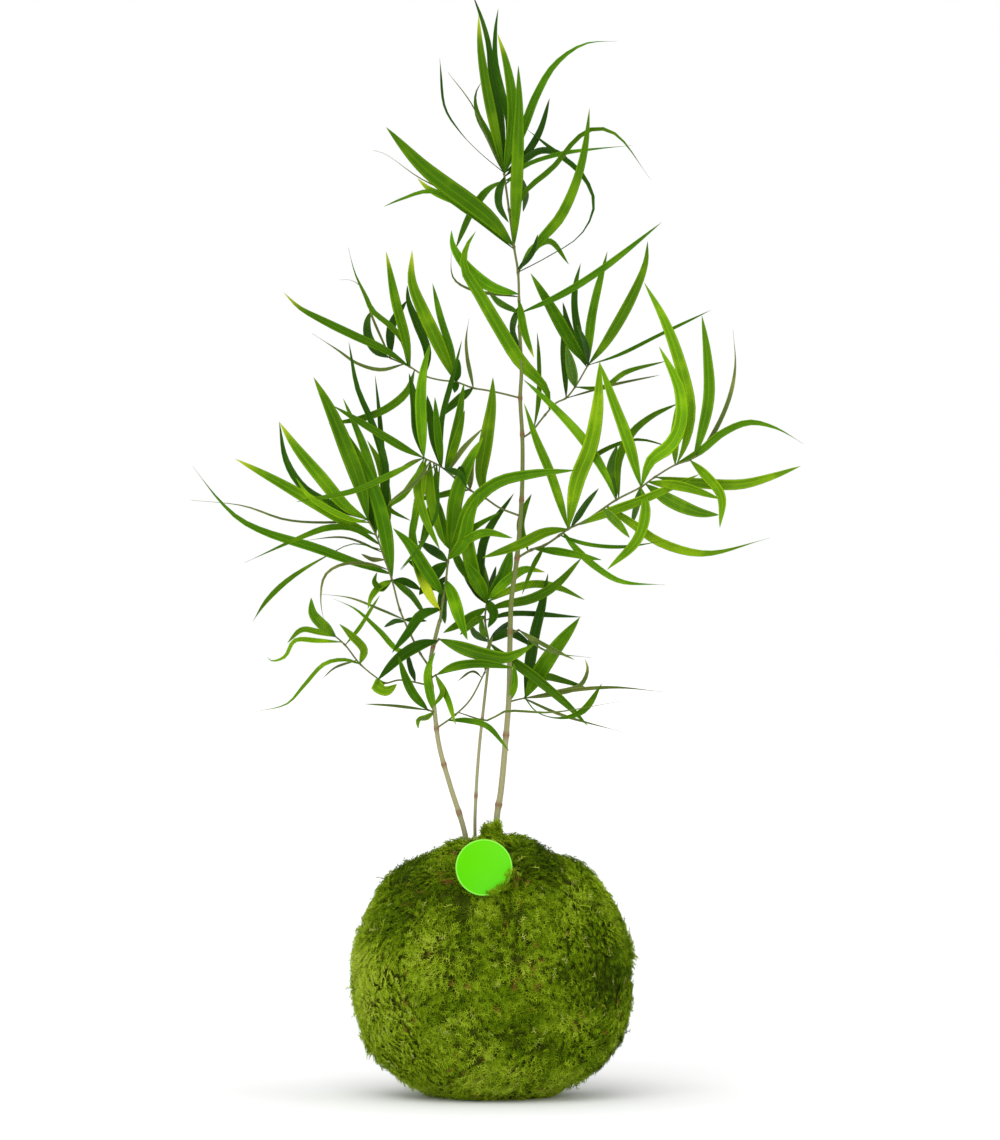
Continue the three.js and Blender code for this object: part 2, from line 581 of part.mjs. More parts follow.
// Evenly spread directions with a seeded shake: one for each cushion of moss.
function cushionDirections() {
  const draw = random(7);
  const golden = Math.PI * (3 - Math.sqrt(5));
  const spacing = Math.sqrt((4 * Math.PI) / MOSS_CUSHIONS) * CUSHION_JITTER;
  const directions = [];
  for (let n = 0; n < MOSS_CUSHIONS; n += 1) {
    const z = 1 - (2 * n + 1) / MOSS_CUSHIONS;
    const ring = Math.sqrt(1 - z * z);
    const shake = new THREE.Vector3(draw() - 0.5, draw() - 0.5, draw() - 0.5).multiplyScalar(2 * spacing);
    const way = new THREE.Vector3(ring * Math.cos(n * golden), ring * Math.sin(n * golden), z);
    const lift = THREE.MathUtils.lerp(CUSHION_LEAST, 1, draw());
    directions.push({ way: way.add(shake).normalize(), lift });
  }
  return directions;
}

// Height of the moss over the hollows at a direction: the highest cushion there.
function mossRelief(direction, cushions) {
  const reach = Math.sqrt((4 * Math.PI) / MOSS_CUSHIONS);
  let height = 0;
  for (const { way, lift } of cushions) {
    const apart = direction.distanceTo(way) / reach;
    height = Math.max(height, lift * Math.sqrt(Math.max(0, 1 - apart * apart)));
  }
  return CUSHION_HEIGHT * height;
}

// The ball's own round, with full shoulders: distance from its middle along a direction.
function ballRadius(direction) {
  const flat = Math.hypot(direction.x, direction.y) / BALL_RADIUS;
  const tall = Math.abs(direction.z) / (direction.z > 0 ? BALL_TOP : BALL_BOTTOM);
  return (flat ** BALL_SQUARENESS + tall ** BALL_SQUARENESS) ** (-1 / BALL_SQUARENESS);
}

function ballSkin(facets, distance) {
  const geometry = new THREE.IcosahedronGeometry(1, facets);
  geometry.deleteAttribute('normal');
  geometry.deleteAttribute('uv');
  const merged = mergeVertices(geometry, 1e-4);
  const place = merged.attributes.position;
  const direction = new THREE.Vector3();
  for (let n = 0; n < place.count; n += 1) {
    direction.fromBufferAttribute(place, n).normalize();
    const far = distance(direction);
    place.setXYZ(n, direction.x * far, direction.y * far, direction.z * far + BALL_MIDDLE);
  }
  return toSolid(merged);
}

// A cylinder along Y.
function rod(radius, length, sides) {
  return new THREE.CylinderGeometry(radius, radius, length, sides);
}

function uprightCylinder(radius, bottom, top, x) {
  const geometry = rod(radius, top - bottom, CROWN_SIDES);
  return toSolid(geometry.rotateX(Math.PI / 2).translate(x, 0, (bottom + top) / 2));
}

// The tag: a disc on a pick that runs back and down into the ball; extra is clearance all round.
function tagSolid(extra = 0) {
  const lean = THREE.MathUtils.degToRad(TAG_LEAN);
  const slope = THREE.MathUtils.degToRad(PICK_SLOPE);
  const half = PICK_LENGTH / 2;
  const disc = rod(TAG_RADIUS + extra, TAG_THICKNESS + 2 * extra, TAG_SIDES);
  disc.rotateX(-lean).translate(TAG_X, TAG_Y, TAG_Z);
  const pick = rod(PICK_RADIUS + extra, PICK_LENGTH + 2 * extra, PICK_SIDES);
  pick.rotateX(-slope);
  pick.translate(TAG_X, TAG_Y + half * Math.cos(slope), TAG_Z - half * Math.sin(slope));
  return toSolid(disc).add(toSolid(pick));
}

// ---------------------------------------------------------------- the pieces

const group = new THREE.Group();
const cushions = cushionDirections();
const mossRound = ballSkin(MOSS_FACETS, (way) => ballRadius(way) + mossRelief(way, cushions));
const soilRound = ballSkin(SOIL_FACETS, (way) => ballRadius(way) - MOSS_WALL);
const soilHollow = ballSkin(SOIL_FACETS, (way) => ballRadius(way) - MOSS_WALL + SEATING_GAP);
const crownTop = BALL_MIDDLE + BALL_TOP - CROWN_SINK;
const crownHole = uprightCylinder(CROWN_RADIUS, BALL_MIDDLE, 2 * crownTop, CROWN_X);
const soilNeck = uprightCylinder(CROWN_RADIUS - SEATING_GAP, BALL_MIDDLE, crownTop, CROWN_X);
const caneHoles = Object.keys(CANES).map((name) => caneSolid(name, SEATING_GAP));
const tagRoom = tagSolid(SEATING_GAP);
const mossHollow = union([soilHollow, crownHole, tagRoom]);
const mossWrap = mossRound.trimByPlane([0, 0, 1], 0).subtract(mossHollow);
const soilBall = union([soilRound, soilNeck]).subtract(union([...caneHoles, tagRoom]));

group.add(toMesh('moss_wrap', mossWrap, 0x5f7a1e, 1));
group.add(toMesh('soil_ball', soilBall, 0x3a2b1e, 1));
group.add(toMesh('plant_tag', tagSolid(), 0x5fdc0a, 0.45));
for (const [name, { colour }] of Object.entries(CANES)) {
  group.add(toMesh(name, caneSolid(name), colour, 0.7));
}
for (const name of Object.keys(SPRAYS)) {
  group.add(toMesh(`spray_${name}`, spray(name), 0x4f9a14, 0.5));
}

export default group;
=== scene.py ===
import math

import bmesh
import bpy
import numpy as np
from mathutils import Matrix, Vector


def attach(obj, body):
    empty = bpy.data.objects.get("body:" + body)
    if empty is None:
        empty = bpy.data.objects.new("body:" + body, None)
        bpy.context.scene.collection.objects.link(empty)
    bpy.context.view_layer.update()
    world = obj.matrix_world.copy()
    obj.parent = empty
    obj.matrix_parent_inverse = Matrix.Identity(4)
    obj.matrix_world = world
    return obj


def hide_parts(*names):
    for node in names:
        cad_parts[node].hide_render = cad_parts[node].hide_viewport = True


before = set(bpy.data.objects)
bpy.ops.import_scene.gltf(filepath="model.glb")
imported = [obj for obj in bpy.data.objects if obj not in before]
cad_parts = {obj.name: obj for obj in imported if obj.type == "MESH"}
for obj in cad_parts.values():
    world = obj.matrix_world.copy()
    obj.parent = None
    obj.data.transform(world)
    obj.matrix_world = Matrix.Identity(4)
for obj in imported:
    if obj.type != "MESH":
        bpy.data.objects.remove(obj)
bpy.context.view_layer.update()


# ---------------------------------------------------------------- Soil ball
# The roots sit in damp peat with bark fines, squeezed into a ball by hand. The solid from the source is
# kept as it is. It shows only between the canes at the crown, where the moss is open.

PEAT_DARK = (0.018, 0.011, 0.006, 1)
PEAT_LIGHT = (0.075, 0.047, 0.024, 1)
PEAT_GRAIN = 260  # crumbs in a metre
PEAT_RELIEF = 0.0015  # m
CRUMB_CONTRAST = (0.32, 0.68)
MATT = 0.95  # roughness of soil and of old moss


def new_material(name):
    """A material with its node tree and its Principled shader."""
    made = bpy.data.materials.new(name)
    made.use_nodes = True
    return made, made.node_tree, made.node_tree.nodes["Principled BSDF"]


def put(tree, kind, options=None, **inputs):
    """Adds a node. A socket among the inputs is linked, and any other value is set."""
    node = tree.nodes.new(kind)
    for name, value in (options or {}).items():
        setattr(node, name, value)
    for name, value in inputs.items():
        feed(tree, node, name.replace("_", " "), value)
    return node


def feed(tree, node, name, value):
    """Links a socket to one input of a node, or sets that input. The name may be a number."""
    socket = node.inputs[name]
    if isinstance(value, bpy.types.NodeSocket):
        tree.links.new(value, socket)
    else:
        socket.default_value = value


def blend(tree, share, first, second, how="MIX"):
    """Mixes two colours by a share of the second."""
    mixer = put(tree, "ShaderNodeMix", {"data_type": "RGBA", "blend_type": how})
    for place, value in ((0, share), (6, first), (7, second)):
        feed(tree, mixer, place, value)
    return mixer.outputs[2]


def scaled(tree, value, start=0.0, end=1.0, least=0.0, most=1.0):
    """A value brought from between start and end to between least and most."""
    limits = {"From_Min": start, "From_Max": end, "To_Min": least, "To_Max": most}
    return put(tree, "ShaderNodeMapRange", Value=value, **limits).outputs[0]


def coat(tree, shader, colour, relief, depth, strength=1.0):
    """Gives a shader its colour, and a fine relief that is depth metres high."""
    feed(tree, shader, "Base Color", colour)
    bump = put(tree, "ShaderNodeBump", Strength=strength, Distance=depth, Height=relief)
    feed(tree, shader, "Normal", bump.outputs[0])


def place_on_piece(tree):
    return put(tree, "ShaderNodeTexCoord").outputs["Object"]


def new_group(name, takes, gives):
    """A shader node group with named sockets: takes is {name: (kind, value)} and gives {name: kind}."""
    group = bpy.data.node_groups.new(name, "ShaderNodeTree")
    for socket, (kind, value) in takes.items():
        made = group.interface.new_socket(socket, in_out="INPUT", socket_type=kind)
        made.default_value = value
    for socket, kind in gives.items():
        group.interface.new_socket(socket, in_out="OUTPUT", socket_type=kind)
    return group, group.nodes.new("NodeGroupInput").outputs, group.nodes.new("NodeGroupOutput")


def use_group(tree, group, **inputs):
    return put(tree, "ShaderNodeGroup", {"node_tree": group}, **inputs).outputs


# Crumbs and flecks of two tones, shared by the soil, the moss's roots and the bark of the canes.
crumbs, given, result = new_group(
    "crumbs",
    {
        "Dark": ("NodeSocketColor", PEAT_DARK),
        "Light": ("NodeSocketColor", PEAT_LIGHT),
        "Grain": ("NodeSocketFloat", PEAT_GRAIN),
        "Stretch": ("NodeSocketVector", (1, 1, 1)),
    },
    {"Colour": "NodeSocketColor", "Height": "NodeSocketFloat"},
)
stretched = put(crumbs, "ShaderNodeVectorMath", {"operation": "MULTIPLY"})
feed(crumbs, stretched, 0, place_on_piece(crumbs))
feed(crumbs, stretched, 1, given["Stretch"])
cloud = put(crumbs, "ShaderNodeTexNoise", Vector=stretched.outputs[0], Detail=6, Roughness=0.62)
feed(crumbs, cloud, "Scale", given["Grain"])
contrast = scaled(crumbs, cloud.outputs["Fac"], *CRUMB_CONTRAST)
feed(crumbs, result, "Colour", blend(crumbs, contrast, given["Dark"], given["Light"]))
feed(crumbs, result, "Height", cloud.outputs["Fac"])

potting_soil, tree, shader = new_material("potting_soil")
crumbled = use_group(tree, crumbs)
coat(tree, shader, crumbled["Colour"], crumbled["Height"], PEAT_RELIEF)
shader.inputs["Roughness"].default_value = MATT
soil_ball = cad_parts["soil_ball"]
soil_ball.data.materials.clear()
soil_ball.data.materials.append(potting_soil)


# ---------------------------------------------------------------- Moss wrap: its mat
# Sheets of live feather moss are pressed round the soil. Below the green there is a brown-olive mat of
# old stems, in rounded cushions, which ends in a hole round the canes and is flat where the ball stands.

MM = 0.001
BALL_MIDDLE = 58.0  # mm over the ground
BALL_RADIUS = 66.5
BALL_TOP = 69.0
BALL_BOTTOM = 63.5
BALL_SQUARENESS = 2.1
# Each waist: its slope and its spread in degrees, and how much slimmer it is at the left and at the right.
BALL_WAISTS = [(66, 11, 1.9, 3.0), (-57, 15, 3.6, 4.6)]
WAIST_SIDE = 0.6  # of the radius: past this a waist is all left or all right
MOSS_CUSHIONS = 250
CUSHION_HEIGHT = 3.2
CUSHION_LEAST = 0.6
CUSHION_JITTER = 0.35
CUSHION_SEED = 7
DRAW_FACTOR, DRAW_STEP, DRAW_SPAN = 1664525, 1013904223, 2**32
CROWN = (-5.0, 0.0)  # middle of the hole for the canes
CROWN_RADIUS = 11.0
MAT_WALL = 8.6
MAT_SINK = 0.9  # the mat lies this far below the tips of the cushions
MAT_LUMPS = 0.5
MAT_FINENESS = 6
MAT_DARK = (0.010, 0.014, 0.001, 1)
MAT_LIGHT = (0.060, 0.080, 0.004, 1)
MAT_GRAIN = 420
MAT_RELIEF = 0.0012  # m
MOSS_SHEEN = 0.05
DRIFT_WAVES = 9
DRIFT_PEAK = 3.2


def unit(vectors):
    return vectors / np.linalg.norm(vectors, axis=-1, keepdims=True)


def spread_ways(count):
    """Directions spread evenly round a ball, from its top down."""
    n = np.arange(count)
    z = 1 - (2 * n + 1) / count
    ring = np.sqrt(1 - z * z)
    turn = n * math.pi * (3 - math.sqrt(5))
    return np.stack([ring * np.cos(turn), ring * np.sin(turn), z], axis=1)


def cushion_places():
    """Middle and height of each cushion of moss, drawn as they are for the solid."""
    state = CUSHION_SEED

    def draw():
        nonlocal state
        state = (state * DRAW_FACTOR + DRAW_STEP) % DRAW_SPAN
        return state / DRAW_SPAN

    shake = math.sqrt(4 * math.pi / MOSS_CUSHIONS) * CUSHION_JITTER * 2
    ways, lifts = [], []
    for way in spread_ways(MOSS_CUSHIONS):
        moved = way + shake * (np.array([draw(), draw(), draw()]) - 0.5)
        ways.append(moved / np.linalg.norm(moved))
        lifts.append(CUSHION_LEAST + (1 - CUSHION_LEAST) * draw())
    return np.array(ways), np.array(lifts)


cushion_ways, cushion_lifts = cushion_places()


def nearest_cushions(ways):
    """Height of the moss over the hollows in each direction, and the number of the cushion there."""
    reach = math.sqrt(4 * math.pi / MOSS_CUSHIONS)
    apart = np.sqrt(np.maximum(0, 2 - 2 * ways @ cushion_ways.T)) / reach
    heights = cushion_lifts * np.sqrt(np.maximum(0, 1 - apart**2))
    return CUSHION_HEIGHT * heights.max(axis=1), heights.argmax(axis=1)


def ball_radius(ways):
    """Radius of the ball in each direction, below its cushions."""
    flat = np.hypot(ways[:, 0], ways[:, 1]) / BALL_RADIUS
    tall = np.abs(ways[:, 2]) / np.where(ways[:, 2] > 0, BALL_TOP, BALL_BOTTOM)
    radius = (flat**BALL_SQUARENESS + tall**BALL_SQUARENESS) ** (-1 / BALL_SQUARENESS)
    slope = np.degrees(np.arcsin(np.clip(ways[:, 2], -1, 1)))
    for middle, spread, left, right in BALL_WAISTS:
        slimmer = np.interp(ways[:, 0], [-WAIST_SIDE, WAIST_SIDE], [left, right])
        radius -= slimmer * np.exp(-(((slope - middle) / spread) ** 2))
    return radius


def drift(places, seed, waves):
    """A smooth random value from about -1 to 1, with so many waves across one unit of length."""
    draw = np.random.default_rng(seed)
    runs = draw.normal(size=(DRIFT_WAVES, 3)) * waves
    starts = draw.uniform(0, 2 * math.pi, DRIFT_WAVES)
    return np.sin(places @ runs.T + starts).sum(axis=1) / DRIFT_PEAK


def show_mesh(name, mesh, materials):
    """An object of a mesh, which rides on the body."""
    for material in materials:
        mesh.materials.append(material)
    mesh.shade_smooth()
    piece = bpy.data.objects.new(name, mesh)
    bpy.context.scene.collection.objects.link(piece)
    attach(piece, "root")
    return piece


def show(name, points, faces, materials):
    """An object from points in mm and faces."""
    mesh = bpy.data.meshes.new(name)
    mesh.from_pydata([tuple(p) for p in np.asarray(points) * MM], [], [tuple(map(int, f)) for f in faces])
    mesh.validate()
    return show_mesh(name, mesh, materials)


ball = bmesh.new()
bmesh.ops.create_icosphere(ball, subdivisions=MAT_FINENESS, radius=1)
ways = unit(np.array([v.co[:] for v in ball.verts]))
corners = np.array([[v.index for v in f.verts] for f in ball.faces])
ball.free()
relief, _ = nearest_cushions(ways)
lumps = MAT_LUMPS * drift(ways, seed=3, waves=26)
outer = ways * (ball_radius(ways) + relief - MAT_SINK + lumps)[:, None]
outer[:, 2] = np.maximum(outer[:, 2] + BALL_MIDDLE, 0)
inner = ways * (ball_radius(ways) - MAT_WALL)[:, None]
inner[:, 2] += BALL_MIDDLE
middles = outer[corners].mean(axis=1)
beside_crown = np.hypot(middles[:, 0] - CROWN[0], middles[:, 1] - CROWN[1])
open_crown = (beside_crown < CROWN_RADIUS) & (middles[:, 2] > BALL_MIDDLE)
kept = corners[~open_crown]
edges = {}
for a, b, c in kept:
    for pair in ((a, b), (b, c), (c, a)):
        edges[pair] = True
rim = [(a, b) for a, b in edges if (b, a) not in edges]
lining = kept[:, ::-1] + len(ways)
walls = [(b, a, a + len(ways), b + len(ways)) for a, b in rim]
faces = [*kept, *lining, *walls]
used = np.unique(np.concatenate([np.asarray(f) for f in faces]))
renumber = np.zeros(2 * len(ways), int)
renumber[used] = np.arange(len(used))
moss_mat, tree, shader = new_material("moss_mat")
crumbled = use_group(tree, crumbs, Dark=MAT_DARK, Light=MAT_LIGHT, Grain=MAT_GRAIN)
coat(tree, shader, crumbled["Colour"], crumbled["Height"], MAT_RELIEF)
shader.inputs["Roughness"].default_value = MATT
shader.inputs["Specular IOR Level"].default_value = MOSS_SHEEN
mat = show("moss_mat", np.concatenate([outer, inner])[used], [renumber[list(f)] for f in faces], [moss_mat])
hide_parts("moss_wrap")


# ---------------------------------------------------------------- Moss wrap: its fronds
# The green of the moss is thousands of feathery fronds, a few millimetres long, that lie over each other
# in tufts. Each is a bent stem with pointed leaflets on both sides. They grow in six sheets, with sunken
# creases where the sheets meet, which are painted darker as painted shade.

FRONDS = 21500
FROND_SEED = 21
FROND_JITTER = 0.011  # of the ball's radius
FOOT_SINK = 1.6  # mm: a frond starts this far below the tips of the cushions
RUN = (2.6, 7.0)  # how far it runs over the ball
RISE = (1.5, 3.3)  # and how high it stands over its foot
RISE_IN_HOLLOWS = 0.75  # of the rise on a cushion's tip
RISE_BEND = 1.7  # it rises soon and then lies over
LOOSE_RISE = 1.7
STRAY_SHARE = 0.03
STRAY_RISE = (0.8, 2.4)
CURL = 1.2
STEM_RINGS = (0, 0.4, 0.75)  # places along a frond
STEM_RADIUS = 0.30  # at its foot
STEM_TAPER = 0.6
LEAFLETS = 8
LEAFLET_PLACES = (0.16, 0.97)  # first and last along the frond
LEAFLET_SHAKE = 0.03
LEAFLET_LENGTH = 3.0
LEAFLET_SHORTER = 0.5  # towards the frond's tip
LEAFLET_VARIES = (0.65, 1.25)
LEAFLET_SPREAD = (0.5, 0.95)
LEAFLET_LIFT = (-0.1, 0.55)
LEAFLET_WIDTH = 0.30  # half of it
LEAFLET_KEEL = 0.7  # of that half
LEAFLET_FORWARD = 1.15
LEAFLET_PALER = 0.4  # how much further a leaflet's point is along the green of the frond
PALETTE = (0.01, 0.98)  # start and size of the fronds' palette on their picture map
PALETTE_SPREAD = 0.004  # of one frond across it
CREASE_DEPTH = 1.1
CREASE_WIDTH = 0.055  # of the ball's radius
CREASE_WANDER = 0.05
HEADING = {"cushion": 3.5, "flow": 0.9, "stray": 0.55, "down": 0.25}  # what turns a frond, and how much
# The kind of a frond runs from dry (0) through dark and bright green to pale (1).
KIND_MIDDLE = 0.45
KIND_DRIFTS = 0.14
KIND_VARIES = 0.15
# Painted shade: how much darker a kind of moss the fronds in the creases between the sheets are given.
CREASE_SHADE = 0.16
KIND_GREEN = (0.11, 0.93)
KIND_DRY = (0, 0.06)
KIND_PALE = (0.94, 1)
PALE_SHARE = 0.014
DRY_SHARE = 0.006
DRY_SPOT_SHARE = 0.3
# The brighter patches on the left and low down are partly painted light, and the darker ones on the right
# shoulder and in the valleys are partly painted shade; the rest is the moss's own tone.
MOSS_PATCHES = [  # from the front: place across and up, reach, how much brighter, and how far it stands out
    (24, 117, 14, -0.27, 0.0), (54, 82, 13, -0.30, 0.0), (56, 60, 14, -0.38, 0.0), (-60, 43, 19, 0.40, 0.3),
    (-33, 74, 13, 0.24, 0.6), (-62, 72, 15, 0.20, 0.2), (38, 41, 9, 0.38, 0.5), (37, 13, 11, 0.34, 0.4),
    (18, 66, 8, 0.24, 0.4), (-15, 98, 6, -0.42, -1.6), (-14, 87, 5.5, -0.42, -1.8),
    (-11, 77, 5.5, -0.38, -1.6), (-8, 66, 6, -0.32, -1.0), (6, 60, 9, -0.18, 0.0), (30, 87, 6, -0.18, -0.6),
    (-2, 40, 11, -0.10, 0.0), (12, 130, 7, 0.30, 1.6), (66, 42, 8, 0.24, 0.3), (-34, 14, 20, 0.30, 0.0),
    (2, 9, 20, 0.32, 0.0), (-36, 117, 11, -0.14, 0.0), (-70, 46, 4, 0.15, 4.6), (69, 71, 5, 0.08, 2.6),
    (-67, 73, 6, 0.05, 1.2), (47, 108, 7, 0.14, 0.8), (-52, 100, 8, 0.08, 1.0), (-10, 30, 10, 0.06, 0.0),
    (2, 96, 8, 0.24, 0.6), (12, 30, 8, -0.16, -0.5), (-44, 92, 7, -0.12, -0.4), (-20, 55, 7, -0.14, -0.5),
    (-45, 60, 6, -0.10, -0.3),
]
PATCH_FADE = 45.0  # the patches fade out this far behind the middle of the ball
STANDING_DEPTH = 12.0  # and stand out only in front of this
DRY_SPOTS = [(-21, 108, 4.5), (12, 105, 3.5), (18, 66, 5), (40, 47, 4)]  # brown stems among the green
SHEET_WAYS = unit(np.array([
    (-0.82, -0.58, -0.05), (0.52, -0.83, 0.08), (0.84, 0.52, -0.06),
    (-0.5, 0.86, 0.05), (0.05, 0.02, 1), (-0.04, 0.03, -1),
]))
TAG_SHEET, CROWN_SHEET = 0, 4
CROWN_TUFT = 520  # fronds that climb the foot of the tall cane
CROWN_TUFT_FOOT = np.array([-0.3, -0.9, 126.0])
CROWN_TUFT_HEIGHT = 9.5
CROWN_TUFT_RADIUS = (0.4, 4.4)
CROWN_TUFT_TAPER = 0.45
CROWN_TUFT_LOW = 1.2  # a power: over 1, more of its fronds grow low down
CROWN_TUFT_SLOPE = 0.16  # how much lower its low side is
CROWN_TUFT_HIGH_SIDE = 0.4  # radians from its right to its front
CROWN_TUFT_BRIGHT_SIDE = 0.16
CROWN_TUFT_LEAN = np.array([-0.15, 0, 1.0])
CROWN_TUFT_SCATTER = np.array([0.9, 0.9, 0.27])
CROWN_TUFT_RUN = (2.2, 4.8)
CROWN_TUFT_RISE = (0.6, 2.4)
CROWN_TUFT_KIND = (0.46, 0.2)  # its middle, and how much it varies
CROWN_TUFT_GREEN = (0.12, 0.95)
TAG_MIDDLE = np.array([-4.4, -55.5, 116.8])
TAG_LEAN = math.radians(8)
TAG_AWAY = np.array([0, -math.cos(TAG_LEAN), math.sin(TAG_LEAN)])  # out of the tag's face
TAG_RADIUS = 14.0
TAG_BACK = -1.4  # no frond of the ball comes in front of this, by the tag
TAG_ROOM = 0.4
TAG_TUFT = 44  # fronds over the tag's lower right edge
TAG_TUFT_TURNS = (-1.45, -0.15)
TAG_TUFT_RADIUS = (14.0, 17.0)
TAG_TUFT_SINK = 2.2
TAG_TUFT_SCATTER = 0.7
TAG_TUFT_RUN = (1.8, 4.0)
TAG_TUFT_RISE = (3.0, 4.4)
TAG_TUFT_KIND = (0.2, 0.7)
GROUND_GAP = 0.4  # no frond roots lower than this
TIP_GAP = 0.15  # and no tip hangs lower than this
MOSS_FEET = [
    (0.0, (0.10, 0.045, 0.010, 1)), (0.06, (0.07, 0.045, 0.006, 1)), (0.10, (0.014, 0.026, 0.001, 1)),
    (0.45, (0.048, 0.088, 0.001, 1)), (0.85, (0.120, 0.180, 0.002, 1)), (1.0, (0.24, 0.25, 0.02, 1)),
]
MOSS_TIPS = [
    (0.0, (0.42, 0.17, 0.04, 1)), (0.06, (0.30, 0.18, 0.03, 1)), (0.10, (0.070, 0.130, 0.001, 1)),
    (0.45, (0.240, 0.400, 0.002, 1)), (0.92, (0.580, 0.800, 0.034, 1)), (1.0, (0.80, 0.84, 0.26, 1)),
]
TIPS_FROM, TIPS_FULL = 0.1, 0.95  # along a frond
ROUGH_FOOT, ROUGH_TIP = 0.85, 0.62


def frond_points(feet, outward, heading, run, rise, curl, draw):
    """Points of many fronds as (fronds, points, 3), and how far along its frond each point lies."""
    count = len(feet)
    aside = np.cross(outward, heading)

    def middle(s):
        s = np.asarray(s)[..., None]
        up = 1 - np.maximum(1 - s, 0) ** RISE_BEND
        return (
            feet[:, None] + heading[:, None] * run[:, None, None] * s
            + outward[:, None] * rise[:, None, None] * up + aside[:, None] * curl[:, None, None] * s**2
        )

    def axes(s, step=0.02):
        along = unit(middle(s + step) - middle(s - step))
        side = unit(np.cross(along, np.broadcast_to(outward[:, None], along.shape)))
        return along, side, np.cross(side, along)

    rings = np.broadcast_to(np.array(STEM_RINGS), (count, len(STEM_RINGS)))
    centre = middle(rings)
    along, side, up = axes(rings)
    radius = (STEM_RADIUS * (1 - STEM_TAPER * rings))[..., None]
    corners = [math.radians(turn) for turn in (-30, 90, 210)]
    stem = [centre + radius * (side * math.cos(turn) + up * math.sin(turn)) for turn in corners]
    stem = np.stack(stem, axis=2).reshape(count, -1, 3)
    tip = middle(np.ones((count, 1)))
    shake = draw.uniform(-LEAFLET_SHAKE, LEAFLET_SHAKE, (count, LEAFLETS))
    at = np.linspace(*LEAFLET_PLACES, LEAFLETS) + shake
    sign = np.where(np.arange(LEAFLETS) % 2, 1.0, -1.0)[None, :, None]
    centre = middle(at)
    along, side, up = axes(at)
    length = LEAFLET_LENGTH * (1 - LEAFLET_SHORTER * at) * draw.uniform(*LEAFLET_VARIES, at.shape)
    spread = draw.uniform(*LEAFLET_SPREAD, at.shape)[..., None]
    lift = draw.uniform(*LEAFLET_LIFT, at.shape)[..., None]
    way = unit(along * (LEAFLET_FORWARD - spread) + sign * side * spread + up * lift)
    broad = sign * along * LEAFLET_WIDTH
    leaflet = [
        centre + broad, centre - broad, centre + up * LEAFLET_WIDTH * LEAFLET_KEEL,
        centre + way * length[..., None],
    ]
    leaflet = np.stack(leaflet, axis=2).reshape(count, LEAFLETS * 4, 3)
    points = np.concatenate([stem, tip, leaflet], axis=1)
    leaflet_reach = at[..., None] * (1 - LEAFLET_PALER) + np.array([0, 0, 0, LEAFLET_PALER])
    reach = [np.repeat(rings, 3, axis=1), np.ones((count, 1)), leaflet_reach.reshape(count, -1)]
    return points, np.concatenate(reach, axis=1)


def frond_faces():
    """Triangles of one frond, as frond_points orders its points."""
    faces = [(0, 1, 2)]
    for ring in (0, 3):
        for n in range(3):
            a, b = ring + n, ring + (n + 1) % 3
            faces += [(a, a + 3, b), (b, a + 3, b + 3)]
    faces += [(6 + n, 9, 6 + (n + 1) % 3) for n in range(3)]
    for n in range(LEAFLETS):
        a = 10 + 4 * n
        faces += [(a, a + 1, a + 2), (a, a + 3, a + 1), (a + 1, a + 3, a + 2), (a + 2, a + 3, a)]
    return np.array(faces)


def paint_mesh(mesh, label, values, kind="FLOAT"):
    """Gives every point of a mesh a value, or a colour, that its material reads by its label."""
    field = "color" if kind == "FLOAT_COLOR" else "value"
    values = np.asarray(values, np.float32).ravel()
    mesh.attributes.new(label, kind, "POINT").data.foreach_set(field, values)


def painted(tree, label):
    return put(tree, "ShaderNodeAttribute", {"attribute_name": label}).outputs["Fac"]


def add_map(mesh, spots):
    layer = mesh.uv_layers.new(name="OFBake")
    layer.data.foreach_set("uv", np.asarray(spots, np.float32).ravel())


def ramp(tree, share, stops):
    """A colour ramp through (place, colour) stops."""
    node = put(tree, "ShaderNodeValToRGB", Fac=share)
    line = node.color_ramp.elements
    while len(line) < len(stops):
        line.new(0.5)
    for stop, (place, colour) in zip(line, stops):
        stop.position = place
        stop.color = colour
    return node.outputs["Color"]


def show_fronds(name, points, reach, kind, material):
    """One object of many fronds, with the two values that the material paints by."""
    count, each = reach.shape
    faces = (frond_faces()[None] + (np.arange(count) * each)[:, None, None]).reshape(-1, 3)
    mesh = bpy.data.meshes.new(name)
    mesh.vertices.add(count * each)
    mesh.vertices.foreach_set("co", (points * MM).astype(np.float32).ravel())
    mesh.loops.add(faces.size)
    mesh.loops.foreach_set("vertex_index", faces.astype(np.int32).ravel())
    mesh.polygons.add(len(faces))
    mesh.polygons.foreach_set("loop_start", np.arange(0, faces.size, 3, dtype=np.int32))
    mesh.update(calc_edges=True)
    kinds = np.repeat(kind[:, None], each, axis=1)
    paint_mesh(mesh, "moss_kind", kinds)
    paint_mesh(mesh, "moss_reach", reach)
    # Its picture map is a palette: across it goes the kind of moss, and up it the way along a frond.
    start, size = PALETTE
    sideways = PALETTE_SPREAD * np.array([-1, 0, 1] * 3 + [0] + [-1, 1, 0, 0] * LEAFLETS)
    spots = np.stack([start + size * kinds + sideways, start + size * reach], axis=-1).reshape(-1, 2)
    add_map(mesh, spots[faces.ravel()])
    piece = show_mesh(name, mesh, [material])
    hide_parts("moss_wrap")


def near_spot(feet, across, up, size):
    """How near each foot is to a spot as seen from the front: 1 at its middle, and fading past size."""
    return np.exp(-(((feet[:, 0] - across) ** 2 + (feet[:, 2] - up) ** 2) / size**2))


def laid_flat(ways, outward):
    """Directions turned so that they lie along the surface that outward stands on."""
    return unit(ways - outward * (ways * outward).sum(axis=1, keepdims=True))


